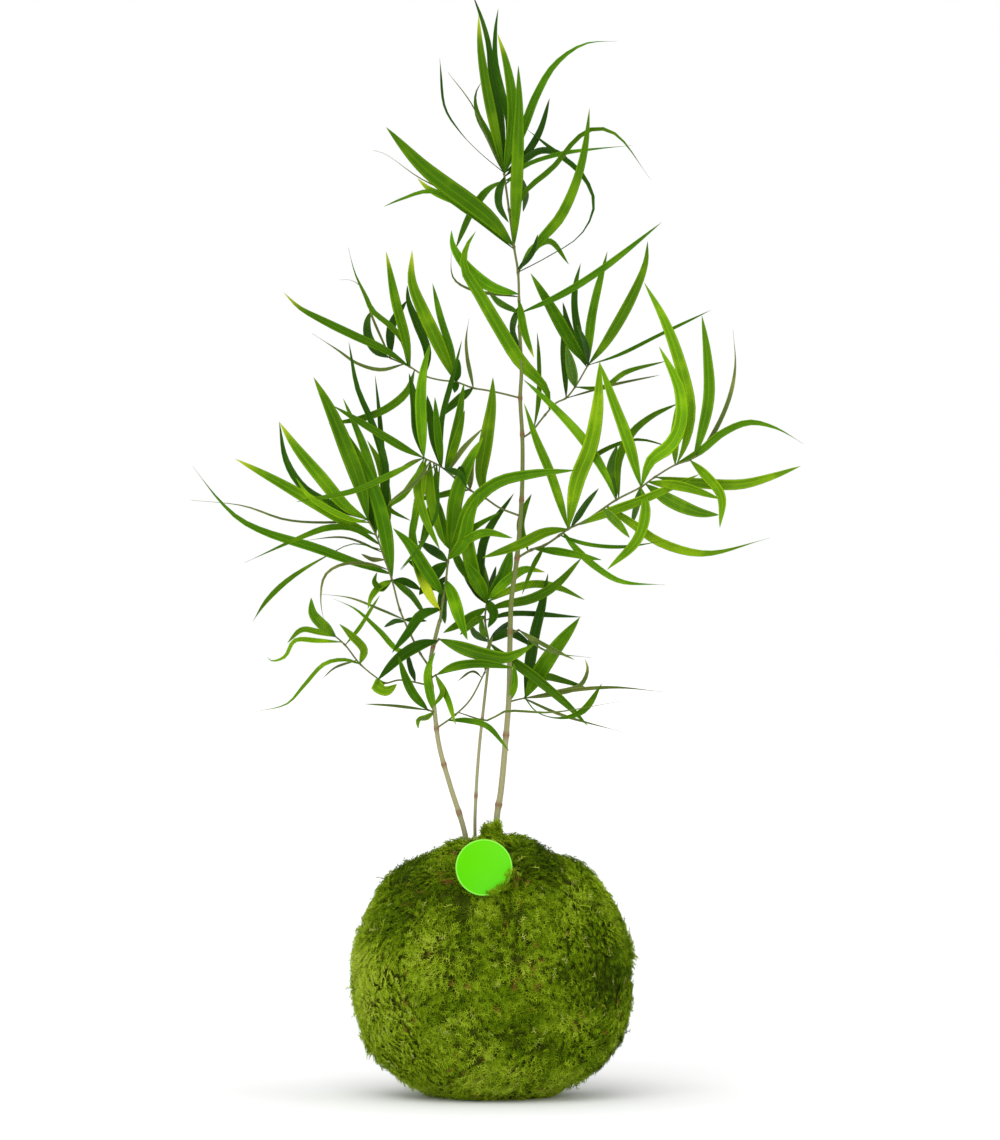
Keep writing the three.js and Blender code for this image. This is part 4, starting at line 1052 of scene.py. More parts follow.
def leaf_rings(stem, row, shape, draw):
    """Rings round a leaf's blade, from its foot on the stem, and its tip."""
    at, widest, turn, depth, *read = row
    foot = curve_at(stem, at / (len(stem) - 1))[0]
    flat = np.vstack([foot[[0, 2]], np.reshape(read, (-1, 2))])
    gone = np.concatenate([[0], np.cumsum(np.linalg.norm(np.diff(flat, axis=0), axis=1))])
    path = np.stack([flat[:, 0], foot[1] + depth * gone / gone[-1], flat[:, 1]], axis=1)
    line = np.vstack([foot, seen(path[1:])])
    stations = np.append(LEAF_STATIONS, 1)
    centres, ways, _ = along_curve(line, stations)
    wring = np.radians(turn + TWIST * draw.normal() * (stations - TWIST_MIDDLE))[:, None]
    flat_across = unit(np.cross(ways, (0, 1, 0)))
    across = flat_across * np.cos(wring) + np.cross(ways, flat_across) * np.sin(wring)
    upward = -np.cross(across, ways)  # out of the leaf's upper side
    half = blade_half(stations, widest, shape)[:-1, None]
    t = LEAF_ACROSS[None]
    middle = np.maximum(0, 1 - (t / GROOVE_WIDTH) ** 2)
    thick = LEAF_EDGE + (LEAF_THICK - LEAF_EDGE) * (1 - t**2)
    top = thick / 2 - LEAF_GROOVE * middle
    bottom = -thick / 2 - 0.5 * LEAF_GROOVE * middle
    phase = 2 * math.pi * (WAVES * LEAF_STATIONS[:, None] + draw.random())
    wave = WAVE_HEIGHT * np.sin(phase + WAVE_SLANT * t)
    lift = np.where(LEAF_UNDER > 0.75, bottom, np.where(LEAF_UNDER < 0.25, top, 0))
    lift = lift * np.clip(half / LEAF_THIN_UNDER, LEAF_THINNEST, 1)
    lift = lift + (LEAF_FOLD * np.abs(t) + wave * np.abs(t)) * half
    aside = across[:-1, None] * (t * half)[..., None]
    return centres[:-1, None] + aside + upward[:-1, None] * lift[..., None], centres[-1]


def blade_colours(shade, along, draw):
    """The green of a blade's points, and how dry they are."""
    green = np.array(LEAF_GREENS[shade.strip("*+~^")]) * draw.uniform(*GREEN_DEPTH)
    green = green * draw.uniform(*GREEN_HUE, 3)
    dry_from = DRY_TIP if "*" in shade else draw.uniform(*DRY_LITTLE)
    dry = np.clip((along - dry_from) / DRY_EASE, 0, 1)
    yellowed = np.clip((YELLOW_FOOT - along) / DRY_EASE, 0, 1) * ("+" in shade)
    return np.column_stack([np.tile(green, (len(along), 1)), np.maximum(dry, yellowed)])


def grow_spray(name, radius, stem, leaves):
    """One spray: its stem, through places across, behind and up, and a blade for each row of leaves.

    A row holds the name of its green, the place on the stem that the leaf grows from, its width, its turn
    in degrees, how far its tip is behind its foot, and then the places across and up that it runs through.
    After the green, * is a dry tip, + a foot gone yellow, and ~ or ^ a blade drawn out to a thread at its
    tip or its foot.
    """
    draw = np.random.default_rng(sum(map(ord, name)))
    stem = seen(stem)
    shares, centres, ways = stalk_line(stem, TWIG_STEP, TWIG_FEWEST)
    joints = [curve_at(stem, at / (len(stem) - 1))[0] for at in sorted({round(row[1]) for row in leaves})]
    near = sum(np.exp(-((np.linalg.norm(centres - joint, axis=1) / TWIG_JOINT) ** 2)) for joint in joints)
    near = np.clip(near, 0, 1)
    radii = TWIG_SLIM * (radius[0] + (radius[1] - radius[0]) * shares) * (1 + TWIG_SWELL * near)
    strips = len(leaves) + 1
    skins = [sleeve(stalk_rings(centres, ways, radii, TWIG_SIDES), strip=(0, STRIP_FILL / strips))]
    count = len(shares) * TWIG_SIDES
    paints = [{
        "reach": np.repeat(shares, TWIG_SIDES),
        "around": half_turns(len(shares), TWIG_SIDES),
        "joint": np.repeat(near, TWIG_SIDES),
        "under": np.zeros(count),
        "green": np.tile(TWIG_PAINT, (count, 1)),
    }]
    along = np.append(np.repeat(LEAF_STATIONS, len(LEAF_ACROSS)), 1)
    for number, (shade, *row) in enumerate(leaves, 1):
        rings, tip = leaf_rings(stem, row, shade[-1], draw)
        skins.append(sleeve(rings, tip, strip=(number / strips, (number + STRIP_FILL) / strips)))
        paints.append({
            "reach": along,
            "around": np.append(np.tile(LEAF_ACROSS, len(LEAF_STATIONS)), 0),
            "joint": np.zeros(len(along)),
            "under": np.append(np.tile(LEAF_UNDER, len(LEAF_STATIONS)), 0),
            "green": blade_colours(shade, along, draw),
        })
    faces, start = [], 0
    for points, own_faces, _ in skins:
        faces += [tuple(n + start for n in face) for face in own_faces]
        start += len(points)
    twig_faces = len(skins[0][1])
    slots = [1] * twig_faces + [0] * (len(faces) - twig_faces)
    piece = show("leaves_" + name, np.vstack([skin[0] for skin in skins]), faces, [leaf_blade, twig_bark])
    piece.data.polygons.foreach_set("material_index", slots)
    add_map(piece.data, np.vstack([skin[2] for skin in skins]))
    for label in paints[0]:
        kind = "FLOAT_COLOR" if label == "green" else "FLOAT"
        paint_mesh(piece.data, label, np.concatenate([values[label] for values in paints]), kind)
    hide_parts("spray_" + name)


grow_spray("crown", (0.95, 0.8), [
    (13.2, 3, 384.6), (13, 2, 398), (12.5, 2, 412), (10.5, 1, 424.5), (8, 0.5, 443), (5.5, 0, 461.5),
], [
    ("mid*", 5, 5.2, 10, -12, 1, 482.5, -3, 502, -6.3, 524, -7.3, 541),
    ("deep", 5, 4, 20, 16, 3.5, 490, -0.7, 509.5, -2.3, 525, -5.3, 537, -10.3, 551),
    ("deep", 5, 4.2, 30, 32, 7.5, 487, 4.3, 500, 0.8, 518, 1, 533, 2.6, 544),
    ("mid*", 5, 5.5, 10, -30, 9.6, 487, 9, 502, 6.4, 517, 2.2, 531.5),
    ("mid~", 5, 4.4, 30, 42, -2.7, 480, -8, 491, -8.8, 501, -4.2, 509.5),
    ("deep^", 5, 2.6, 60, -24, -6.5, 471.5, -17, 482.5, -24.5, 494.5, -26.6, 519),
    ("grey", 5, 1.3, 60, 26, -3.5, 480, -10.7, 495.7, -22.7, 512),
    ("mid~", 5, 4.5, 20, -14, 15, 484, 21.5, 500.5, 31, 516, 45.5, 526, 62.5, 527.5),
    ("deep", 5, 3.8, 20, 52, 14.5, 469, 23, 482, 28.3, 499),
    ("mid~", 4.7, 3, 40, 30, 16, 465.5, 34, 471.5, 49, 473.5, 70, 475.3),
    ("deep", 4.9, 4, 25, 46, 15, 468, 24, 473, 34, 471, 40.5, 464),
    ("mid~", 3.6, 3.5, 40, -20, 15.5, 452, 30, 465, 42.3, 479.5, 51, 484, 61.5, 481, 79, 458),
    ("mid", 4.8, 4.5, 30, 34, -2, 453, -10, 442.5, -18.8, 423.5),
    ("deep", 4.9, 4, 0, -44, 3, 452, 3.2, 445, 8, 436.5),
    ("deep", 4.8, 4, 20, 50, 12, 459, 16.3, 451, 15, 442),
    ("mid", 3, 6.3, 0, -26, 11.5, 448, 12.6, 475, 13.1, 498, 12.7, 515.5),
    ("mid", 3, 8.8, 5, -18, -0.7, 437.5, -12.3, 447, -24, 455.5, -36.5, 466, -53.5, 484.5),
    ("light*", 3, 6, 20, 22, -1.5, 438, -14, 445.5, -31.5, 453, -38, 459),
    ("grey~", 3.1, 1.7, 55, 44, -14, 447, -37, 459, -54, 471, -60.5, 473),
    ("mid", 2.9, 3.5, 35, 12, -12, 441, -30.5, 452, -46.5, 448, -55, 444.5),
    ("mid", 2, 5.2, 15, -24, 24, 428.5, 33, 439, 41, 456, 45.8, 474, 48.3, 494),
    ("deep^", 2, 3.5, 40, 26, 26, 419, 44, 431, 50.2, 446, 44.5, 460, 30, 472.5, 16.2, 484),
    ("deep", 2.1, 3, 20, -34, 19, 421, 22.5, 431),
    ("light", 2, 3.6, 20, 34, 20, 424, 28.5, 427.5, 38, 415.7),
    ("light", 1.2, 6, 15, -24, -1.5, 404.5, -13, 414, -20, 425, -20.8, 433),
    ("grey~", 1.1, 2.4, 45, 22, -11.5, 403, -20, 409, -21, 423),
    ("mid", 0.5, 3.8, 15, -14, 33.5, 400.5, 53.5, 413, 84.5, 437),
    ("mid", 0.5, 4, 30, 30, 3.5, 396, -3, 403),
    ("mid*", 1, 4, 0, -26, 15.5, 383, 20.5, 369),
    ("deep", 0.8, 3.5, 20, 30, 10, 383, 13.5, 374),
])


# ---------------------------------------------------------------- Right upper spray
# A soft green side shoot from the tall cane's upper joint, its leaves held up like fingers. The stem is no
# thicker than a pencil line, and one long pale leaf crosses the tall cane to the upper left.

grow_spray("right_upper", (0.75, 0.6), [
    (14.6, 4, 329), (19, 7, 332), (26, 13, 340.5), (31.5, 17, 346.5), (36.5, 21, 349), (41, 25, 354.5),
    (47.5, 31, 365.5),
], [
    ("mid", 6, 6.5, 10, -36, 40, 375, 30.5, 391, 18.7, 411.5),
    ("deep", 6, 4.5, 30, 18, 43.5, 376, 40.3, 394, 41, 406, 43.8, 416.5),
    ("deep", 5.9, 4.5, 30, 40, 41.5, 373, 37, 386, 34.8, 397),
    ("light", 6, 5, 20, -22, 48.3, 385, 51.3, 401, 57.2, 422.5),
    ("light", 6, 5.5, 10, 6, 56, 376.5, 69, 399, 76, 416, 77.3, 427.5),
    ("mid", 6, 2.4, 40, -18, 62, 370.5, 83.5, 381, 109, 393),
    ("deep", 6, 3.5, 20, -34, 46.5, 374, 42, 385.5),
    ("light", 5, 5.5, 0, -42, 39, 364, 36.5, 375.5),
    ("mid", 5, 3, 25, 22, 55, 354.5, 66, 362, 86.5, 367.5),
    ("deep", 4, 4, 30, 30, 35, 370.5, 35.5, 393),
    ("grey", 4, 1.8, 40, -16, 58.5, 355.5, 83.5, 360.5),
    ("light", 2.4, 7, 10, -40, 26.5, 353, 13.5, 367, 3.5, 383, -7, 401, -14.5, 414, -13.5, 424, -8.5, 432.5),
    ("mid", 1.2, 3.2, 40, 26, 22.5, 350, 22.5, 373, 22, 382),
])


# ---------------------------------------------------------------- Right main spray
# The biggest side shoot, which reaches far out to the right from the middle of the tall cane. Its leaves are
# the youngest of the plant: thin, bright yellow-green, and some of them curl over at their ends.

grow_spray("right_main", (0.95, 0.6), [
    (12, 2, 269), (19, 0, 273), (26, -3, 275.5), (33.5, -7, 280.5), (37.5, -9, 283.5), (46, -13, 287.5),
    (61.5, -18, 298), (74, -22, 304.5), (81, -24, 309.5), (92, -27, 316), (98.5, -29, 318),
    (102, -30, 320.5),
], [
    ("light", 4, 5, 20, -14, 28.5, 311, 21.5, 328, 15.5, 346.5),
    ("fresh", 4, 8, 5, -20, 42, 308, 48.3, 324, 52, 343, 53.5, 368),
    ("deep", 4.2, 3.5, 20, -46, 46, 295.5, 53, 304),
    ("fresh", 4.4, 5, 20, -26, 60, 293, 76, 299, 103.5, 311),
    ("light", 4, 5.5, 15, -22, 26, 281.5, 13.5, 275.5, -5.5, 269),
    ("light", 6, 5, 15, 8, 57, 309, 46.5, 326, 31, 343.5, 15, 358.5),
    ("mid", 6, 5.5, 10, 48, 59, 313, 62, 325.5),
    ("mid", 6.1, 4.5, 25, 26, 62.5, 318, 69, 331.5, 79, 340, 93, 346.5),
    ("mid", 4.05, 3, 35, 22, 41.5, 300, 47, 316.5, 55, 323, 72, 328.5, 89, 324.5),
    ("fresh", 7, 6, 15, -30, 67, 328, 60, 347, 53, 367.5),
    ("fresh", 7, 7, 10, -20, 79, 318, 88, 325, 93.3, 335, 93.3, 352, 83, 375),
    ("fresh", 7, 5.5, 10, -22, 76.5, 294, 72.5, 278.5, 57, 263),
    ("mid", 7, 3.8, 20, 34, 72, 295, 69.5, 286),
    ("light", 7.3, 6.8, 10, 40, 90, 297.2, 103, 291.9, 113, 290.5),
    ("fresh", 7.5, 5, 20, -34, 95, 305, 114, 298.5),
    ("fresh", 8, 5.5, 15, -10, 100, 307, 123.5, 306, 138.5, 309.5, 154, 315),
    ("fresh", 9, 6.5, 10, 12, 96.5, 328, 98, 343, 94.5, 362, 86, 387, 75.5, 407),
    ("fresh", 8.9, 4.8, 20, 44, 90.5, 328, 92.5, 348),
    ("light~", 9, 4.2, 20, -16, 103, 322.3, 115, 332, 128, 337, 141, 334.3, 155.5, 326),
    ("light", 10.5, 5.8, 10, -24, 104, 331, 107.8, 350, 107, 371, 104.5, 390.5),
    ("grey~", 11, 3, 35, 14, 108.5, 329, 117.5, 348, 121, 365, 120, 383.5),
    ("fresh", 10, 5, 15, -30, 106, 311, 114.3, 300, 113.5, 284),
    ("fresh~", 5.7, 5, 20, 24, 69, 287, 84, 277, 106, 271.5, 138.5, 279),
    ("fresh", 5.6, 4.5, 0, -48, 63.5, 285, 68.5, 279),
    ("mid~", 3, 2.6, 35, -26, 46, 276.5, 64, 274.8, 88.5, 278),
    ("light~", 3.4, 3.8, 20, -12, 42, 273.5, 52, 264.5, 64, 257.5, 86.5, 255.5),
    ("mid", 1.2, 4.2, 20, -20, 33, 272.5, 54.5, 268),
    ("mid", 2, 2.8, 30, -16, 20, 264, 14.5, 250.5),
    ("mid", 0.8, 4.2, 20, 26, 13.5, 284, 15.5, 293.5, 19.3, 301),
])


# ---------------------------------------------------------------- Left upper spray
# A wiry shoot that leaves the tall cane to the left, almost level. Its leaves stand up or lie out along it,
# and a few of them have dry straw-coloured tips.

grow_spray("left_upper", (0.75, 0.6), [
    (13.6, 4, 349), (3.5, 7, 351.5), (-4, 9, 353), (-10, 11, 354), (-18.5, 14, 357), (-26.5, 17, 358),
    (-34, 20, 360), (-41.5, 23, 364.5), (-51.5, 26, 369),
], [
    ("mid*", 7, 4.4, 15, -10, -54, 372.8, -70, 380.2, -86, 388, -97, 394.2, -104.9, 402),
    ("grey~", 7.3, 2.5, 40, 20, -56, 362.8, -68, 366, -78, 373, -90.7, 381.5),
    ("light*", 7, 5.2, 10, -26, -43.8, 378, -49, 398, -53.5, 422.5),
    ("mid~", 7.1, 3.4, 25, 12, -45, 377, -51.5, 384.8, -60.5, 392.5, -64, 400, -69, 411, -72.5, 424.5),
    ("grey~", 8, 1.5, 30, 30, -60, 388, -66, 404.5, -71.5, 408, -77, 408),
    ("deep", 8, 4.8, 10, 44, -58, 372, -62.6, 380, -62.8, 388, -60.5, 393),
    ("deep", 8, 4.8, 20, 34, -51, 385, -43, 398),
    ("deep", 6, 4.8, 20, 22, -33.2, 372, -38.5, 387, -42.3, 397, -43, 405.5),
    ("light*", 4, 6.8, 5, -20, -28.3, 378, -35, 392, -40.6, 407, -40.5, 423),
    ("mid", 4, 4.3, 25, 16, -21.5, 372, -26.7, 390, -30.3, 406.5),
    ("deep", 4, 3.8, 0, -12, -19.2, 351.5),
    ("grey~", 3, 2.5, 35, 28, -13, 368, -13.6, 378, -12, 389),
    ("deep", 3, 4.5, 15, -24, -20, 345.5, -26.5, 339),
    ("mid", 6.7, 4.3, 15, -28, -43, 352, -53, 343.5, -66, 338.5, -82.5, 336),
    ("deep", 4, 3.8, 10, -8, -17, 368.5),
])


# ---------------------------------------------------------------- Front left spray
# A bushy shoot in front of the tall cane, with its leaves packed round one joint. They are upright, firm,
# and cross one another.

grow_spray("front_left", (0.8, 0.6), [
    (13.6, 3, 290), (3.5, -2, 294), (-4, -8, 299), (-11.5, -14, 303), (-19, -20, 309), (-26.5, -26, 315),
    (-34.5, -32, 319),
], [
    ("mid", 6, 4.3, 15, -22, -44, 323.5, -58, 331.8, -80.3, 345.3),
    ("deep", 6, 5.5, 20, 26, -38, 332, -39.7, 348, -42, 361.5),
    ("light", 6, 5.8, 10, -16, -35.8, 335, -36.3, 352, -34.5, 365, -31.3, 376.5),
    ("mid", 6, 4, 35, -14, -52.5, 309.5, -70, 302, -98.5, 297),
    ("light", 6, 4.8, 20, -20, -37.5, 306, -34, 290, -26.5, 273),
    ("deep", 5, 5.4, 25, 36, -30.5, 333, -33, 350.5),
    ("mid", 4.9, 4.2, 15, -44, -28, 334, -29, 349.5),
    ("deep", 5, 3.5, 35, -18, -26, 338, -22, 354, -15.5, 378),
    ("mid", 4.7, 4.8, 20, 24, -18, 336, -14.5, 356.5),
    ("mid", 4.6, 4.2, 15, -40, -17.5, 330.5, -14, 343),
    ("grey", 4.5, 3, 30, -22, -15, 324, -5, 334),
    ("deep", 4.8, 3.5, 20, -36, -16.5, 311, -13, 304),
    ("mid", 5, 3.5, 40, 20, -29, 293, -34, 278, -46.5, 263),
    ("light", 2, 7, 5, -14, -6, 310, -3.5, 328, -0.8, 346, 0, 359.5),
    ("grey", 3, 4.8, 15, -6, -11.5, 318, -5, 329),
    ("light", 5.9, 4.8, 20, 18, -35, 306, -38.5, 290, -40.5, 274),
    ("light", 5.6, 5.2, 10, 14, -31.5, 305, -29.5, 292, -24, 275),
    ("grey", 6, 2.6, 40, 12, -43, 315, -51.5, 309.5),
    ("grey", 5.6, 2.6, 40, -30, -38, 307, -52, 297),
    ("mid", 3, 3.6, 30, 16, -18, 302, -29, 299.5, -40, 298),
    ("deep", 5.4, 1.7, 0, -20, -27.4, 300, -28.5, 290, -34, 279.5, -40, 270, -46.3, 262.4),
    ("grey", 5.2, 1.5, 0, -14, -40.6, 306, -53.2, 294.5),
    ("deep", 4, 2.2, 10, -12, -16, 314, -13, 307),
    ("light", 5.8, 3.4, 15, 20, -45, 300, -52, 294.5, -41, 287.5),
    ("mid", 5.2, 4.4, 20, 24, -29, 300, -33.5, 284, -37, 271),
])


# ---------------------------------------------------------------- Left top spray
# The end of the left cane, where new leaves stand in a tuft. They are broad and bright, and one has yellowed
# from its foot.

grow_spray("left_top", (1.05, 0.7), [
    (-26.5, -9, 237.2), (-25, -9, 248), (-23.5, -10, 258), (-22.5, -10, 267), (-21.5, -10.5, 273),
], [
    ("light", 4, 7.5, 10, -18, -20.5, 286, -18.5, 300, -13, 315, -4.8, 329.5),
    ("light", 3.2, 6.5, 15, -26, -17.5, 281, -11, 296, 2, 307, 20, 311.3, 42, 313),
    ("mid", 3.8, 3.8, 30, -22, -14, 281.5, 3.5, 292),
    ("light", 3.5, 4.8, 20, -34, -15, 277, -4, 282, 10, 279),
    ("mid+", 0.4, 5.5, 10, -22, -31.5, 250, -36.5, 262, -40, 275, -40.5, 285, -38.8, 295),
    ("light", 2, 6.6, 10, -24, -20, 250, -16, 238, -12.7, 228),
    ("deep", 1.9, 5, 20, 24, -25, 247, -24, 236),
    ("mid", 4, 6.5, 10, 16, -25, 281, -28.5, 294, -32, 305),
    ("light", 3.2, 7, 10, -34, -15, 277, -12, 290, -6.5, 302),
    ("deep", 4, 3, 30, 10, -17.5, 273, -9, 280, -1, 280.5),
    ("deep", 3, 7, 10, 14, -29, 261, -37, 250.5),
    ("deep", 3, 5, 20, 24, -28, 271, -37.5, 277.5),
    ("deep", 2.2, 6, 10, 30, -29, 255, -34, 262, -43, 268),
    ("mid", 1.2, 6.5, 10, -30, -33, 262, -42, 276, -50, 284),
    ("light", 2, 4, 10, 20, -19.5, 246, -18, 237),
    ("deep", 0.6, 5.2, 15, -26, -35.5, 240.5, -42.5, 231, -50.5, 221.5),
])


# ---------------------------------------------------------------- Left middle spray
# The left cane's main side shoot. Its long narrow leaves fan out to the left, from upright ones at the middle
# to thread-thin ones that droop.

grow_spray("left_middle", (0.8, 0.6), [
    (-31.4, -8, 214), (-36.5, -9, 221.5), (-41.5, -11, 231.5), (-46.5, -13, 243), (-50.5, -16, 258),
    (-54, -19, 268), (-58.5, -22, 280.5), (-62.5, -25, 288),
], [
    ("mid", 4, 7.4, 5, -16, -53, 277, -57, 295, -64, 313, -74, 333),
    ("mid", 7, 8, 5, -18, -66, 304, -73.8, 325, -81.8, 344, -89.7, 359.5),
    ("mid", 6, 4.8, 20, 22, -58.5, 300, -64, 322, -75, 349),
    ("deep", 5, 4.2, 25, 22, -54, 296, -54.5, 316, -61, 337, -68, 354, -72.2, 377.5),
    ("deep", 5.8, 3.5, 35, 52, -55, 300, -56.5, 333, -59, 360.5),
    ("light", 5.3, 5.8, 20, 48, -54, 300, -57, 316, -63, 328),
    ("light*", 7, 6.6, 10, -14, -73.4, 294.5, -86.5, 309.5, -99, 325, -106.8, 337),
    ("deep", 7, 4.5, 20, 24, -82, 296, -95.5, 304.5, -103.8, 318, -107, 337.5),
    ("fresh", 6.8, 3.2, 15, -38, -73, 289, -91.5, 299.5, -98.5, 309),
    ("light*", 6, 6, 15, -20, -73, 286.5, -90, 296.7, -110, 308.3, -129, 318.7),
    ("grey~", 7, 1.8, 45, 14, -84, 286.5, -104, 288, -125, 295, -151.5, 298),
    ("mid~", 4.3, 4.8, 15, -12, -71.5, 267.5, -88, 273.5, -114.5, 282, -127, 288.5, -137, 298, -150.3, 315),
    ("mid~", 5.6, 3.4, 20, -32, -70, 283.5, -82, 284, -96.5, 279, -124.5, 266.5),
    ("mid^", 5.4, 3.2, 30, 28, -70, 276, -83, 270, -102, 258, -113.5, 247, -120.3, 237),
    ("grey~", 5.3, 1.6, 40, 48, -74, 279, -96.5, 277.5),
    ("grey~", 4.5, 2, 35, -32, -63, 266, -75.5, 265.5, -83.7, 260.3, -86, 248, -83.7, 233.7),
    ("light~", 1.2, 3, 25, 18, -47, 222.5, -57, 232.5, -69, 243.5, -80, 248.7),
    ("grey~", 2.6, 1.5, 30, -20, -56, 243, -71.5, 249, -86.5, 251),
    ("deep", 6, 6, 15, 30, -64.5, 304, -70, 320),
    ("mid", 4, 3.6, 30, -24, -56, 253.5, -59.5, 257, -58, 262),
    ("fresh", 4, 3.6, 20, -30, -57, 254, -60.5, 249.5, -62.5, 243.5),
    ("grey", 5, 2.6, 30, 20, -60, 268, -66, 271),
    ("deep", 4, 4.2, 20, 16, -44, 257.5, -36, 253),
    ("mid", 4, 3.8, 25, 30, -41, 251, -33, 239),
    ("deep", 2.5, 3, 30, 20, -49, 237, -54.5, 234.5),
    ("deep", 2.6, 3, 30, 10, -40, 238.5, -33, 237.5),
])


# ---------------------------------------------------------------- Left low spray
# A low shoot of the left cane. Its leaves are small and curled, still soft and pale at its end, and one of
# them hangs far out to the left.

grow_spray("left_low", (0.7, 0.6), [
    (-30.5, -8, 205), (-46.5, -3, 208), (-54, 1, 206.5), (-58, 4, 209), (-66.5, 10, 216), (-74, 16, 225.5),
    (-81.5, 22, 232),
], [
    ("light", 5.6, 5.6, 15, -30, -84.5, 234.5, -90, 241, -91, 249.3),
    ("fresh", 5.6, 3.3, 20, 20, -88, 232, -95.5, 233, -103, 226.5),
    ("fresh", 5.2, 2.7, 25, -18, -88, 227.5, -99, 227.5, -104, 219.5, -110.5, 217.5, -113, 219.5),
    ("fresh", 4, 4.6, 20, -28, -65, 223, -71.5, 230.5, -76.8, 236),
    ("fresh~", 4, 2.4, 25, -14, -74, 218, -84, 216, -94.5, 205, -103, 196, -120, 192),
    ("grey", 4.2, 1.4, 30, 30, -79, 214, -85, 209),
    ("fresh", 5, 2.4, 30, 26, -66.5, 235, -61.5, 243, -56.5, 250.5),
    ("deep", 0.5, 3.4, 30, 22, -41.5, 214, -43, 222),
    ("fresh", 2, 6.2, 5, -16, -58, 205.5, -53.5, 203, -48, 206),
])


# ---------------------------------------------------------------- Left front spray
# A short shoot of the left cane. It carries one broad leaf to the right across the front of the plant, and
# a darker one to the left.

grow_spray("left_front", (0.8, 0.7), [
    (-30, -8.5, 224.5), (-27, -14, 228.5),
], [
    ("light", 1, 7, 10, -16, -13, 223.5, -2, 220.5, 7, 219.5, 21, 226),
    ("deep", 0.8, 5.8, 10, -30, -36, 225.5, -46, 219.5, -58, 207.5),
])


# ---------------------------------------------------------------- Left bud spray
# A bud on the front of the left cane. Three small leaves have just opened from it, one long and level, and
# two that hang.

grow_spray("left_bud", (0.75, 0.65), [
    (-31, -8, 209), (-28.5, -13.5, 210.5),
], [
    ("mid", 1, 4.8, 15, -18, -19, 215, -6.5, 216.5, 11, 214),
    ("light", 1, 3.2, 30, -24, -25, 202, -30.5, 193.5),
    ("light", 0.9, 3.6, 20, -30, -22.5, 199, -18.5, 185.5),
])


# ---------------------------------------------------------------- Left foot spray
# A few small leaves that stand out low on the left cane. Two of them are as thin as thread, and the two
# biggest stand up beside the cane.

grow_spray("left_foot", (0.75, 0.65), [
    (-29.3, -8, 192), (-32.5, -13, 193),
], [
    ("mid", 1, 4.8, 15, -28, -39.7, 200.5, -44, 209, -47.3, 220),
    ("grey", 0.9, 1.7, 30, -22, -50, 195, -64.5, 196),
    ("grey", 0.05, 1.6, 20, -4, -32, 189.3, -39, 188),
    ("fresh", 0.05, 3, 20, -4, -33, 189.2, -37, 188, -37.4, 183.5),
    ("light", 0.05, 4.6, 10, -4, -31.4, 200, -32.9, 210, -31.5, 217, -28.8, 222),
])


# ---------------------------------------------------------------- Left twig spray
# A bare thin twig from low on the left cane, which climbs in front of the other canes. It has a few narrow
# leaves at its joints.

grow_spray("left_twig", (0.7, 0.6), [
    (-28, -8, 184), (-19, -12, 190.5), (-11.5, -15, 198), (-4, -18, 212),
], [
    ("mid", 0.6, 3.3, 20, -28, -13, 188, -2.5, 185, 8.5, 172),
    ("grey~", 1.2, 1.5, 35, -22, -2, 188, 5, 192.3, 30, 192, 64.4, 197.5),
    ("grey", 3, 2.6, 20, 6, -3, 222, 0, 230),
    ("grey", 2.8, 1.8, 50, 16, -10, 212, -17.9, 207.3),
])


# ---------------------------------------------------------------- Middle top spray
# The end of the middle cane. Its leaves grow in a rosette behind the other canes, mostly dark, and one long
# leaf crosses to the right.

grow_spray("middle_top", (0.8, 0.65), [
    (-2.5, 10, 213.2), (-2.2, 10, 227), (-4, 10, 238), (-3, 10, 248),
], [
    ("mid", 1, 3.8, 20, 34, -9, 231, -11.5, 236),
    ("deep", 1, 3.8, 20, 30, 3.5, 233, 9.5, 238),
    ("light", 1.2, 3.4, 20, -18, -5.5, 233, -6, 240),
    ("deep", 3, 4.8, 20, 14, -6.5, 262, -4, 280, 10.5, 301.5),
    ("mid", 3, 7.5, 5, 40, -6.5, 260.5, -7.5, 272),
    ("mid", 3, 6.8, 15, 30, 5, 260.5, 9.5, 274),
    ("mid", 2.5, 5.2, 20, 14, 5, 246, 19, 249, 31, 255.5, 44.5, 269.3),
    ("deep", 2, 3.4, 30, 30, 8.5, 241.5, 44.5, 239.5),
    ("light", 2.9, 4.4, 20, 34, 9, 253.5, 20, 256.3, 32, 254.7, 46, 248),
    ("mid", 1, 5.4, 20, -14, 3.5, 222, 11, 217, 21.8, 209, 37.5, 195.6, 47.6, 185),
    ("light*", 3, 5, 15, 22, 7, 258, 16, 263.5, 26, 262),
    ("mid", 2.6, 5, 15, -20, -12, 238.5, -25, 231.5),
    ("light", 2.2, 4.2, 20, -30, -9, 237, -16.5, 230.5),
    ("deep", 3, 5, 10, -16, 0.5, 241, -2.5, 234),
    ("deep", 1, 4.5, 20, 24, 8, 232, 20.5, 224.5),
    ("mid", 3, 6.5, 5, -20, -8, 258, -14.5, 268),
    ("deep", 3, 3.4, 25, 30, -1, 256, 1.5, 265),
    ("deep", 2.8, 5.5, 10, 26, -9.5, 255, -15, 262),
    ("light", 2.9, 7.2, 10, -24, -7.5, 254, -12, 270, -13.5, 287, -10, 300),
    ("mid", 2.8, 5, 15, 22, -9, 256, -17, 266, -22, 280),
])


# ---------------------------------------------------------------- Right low spray
# A low shoot of the tall cane on the right. Two broad straight leaves stand up from its end, and thin ones
# lie out or droop round them.

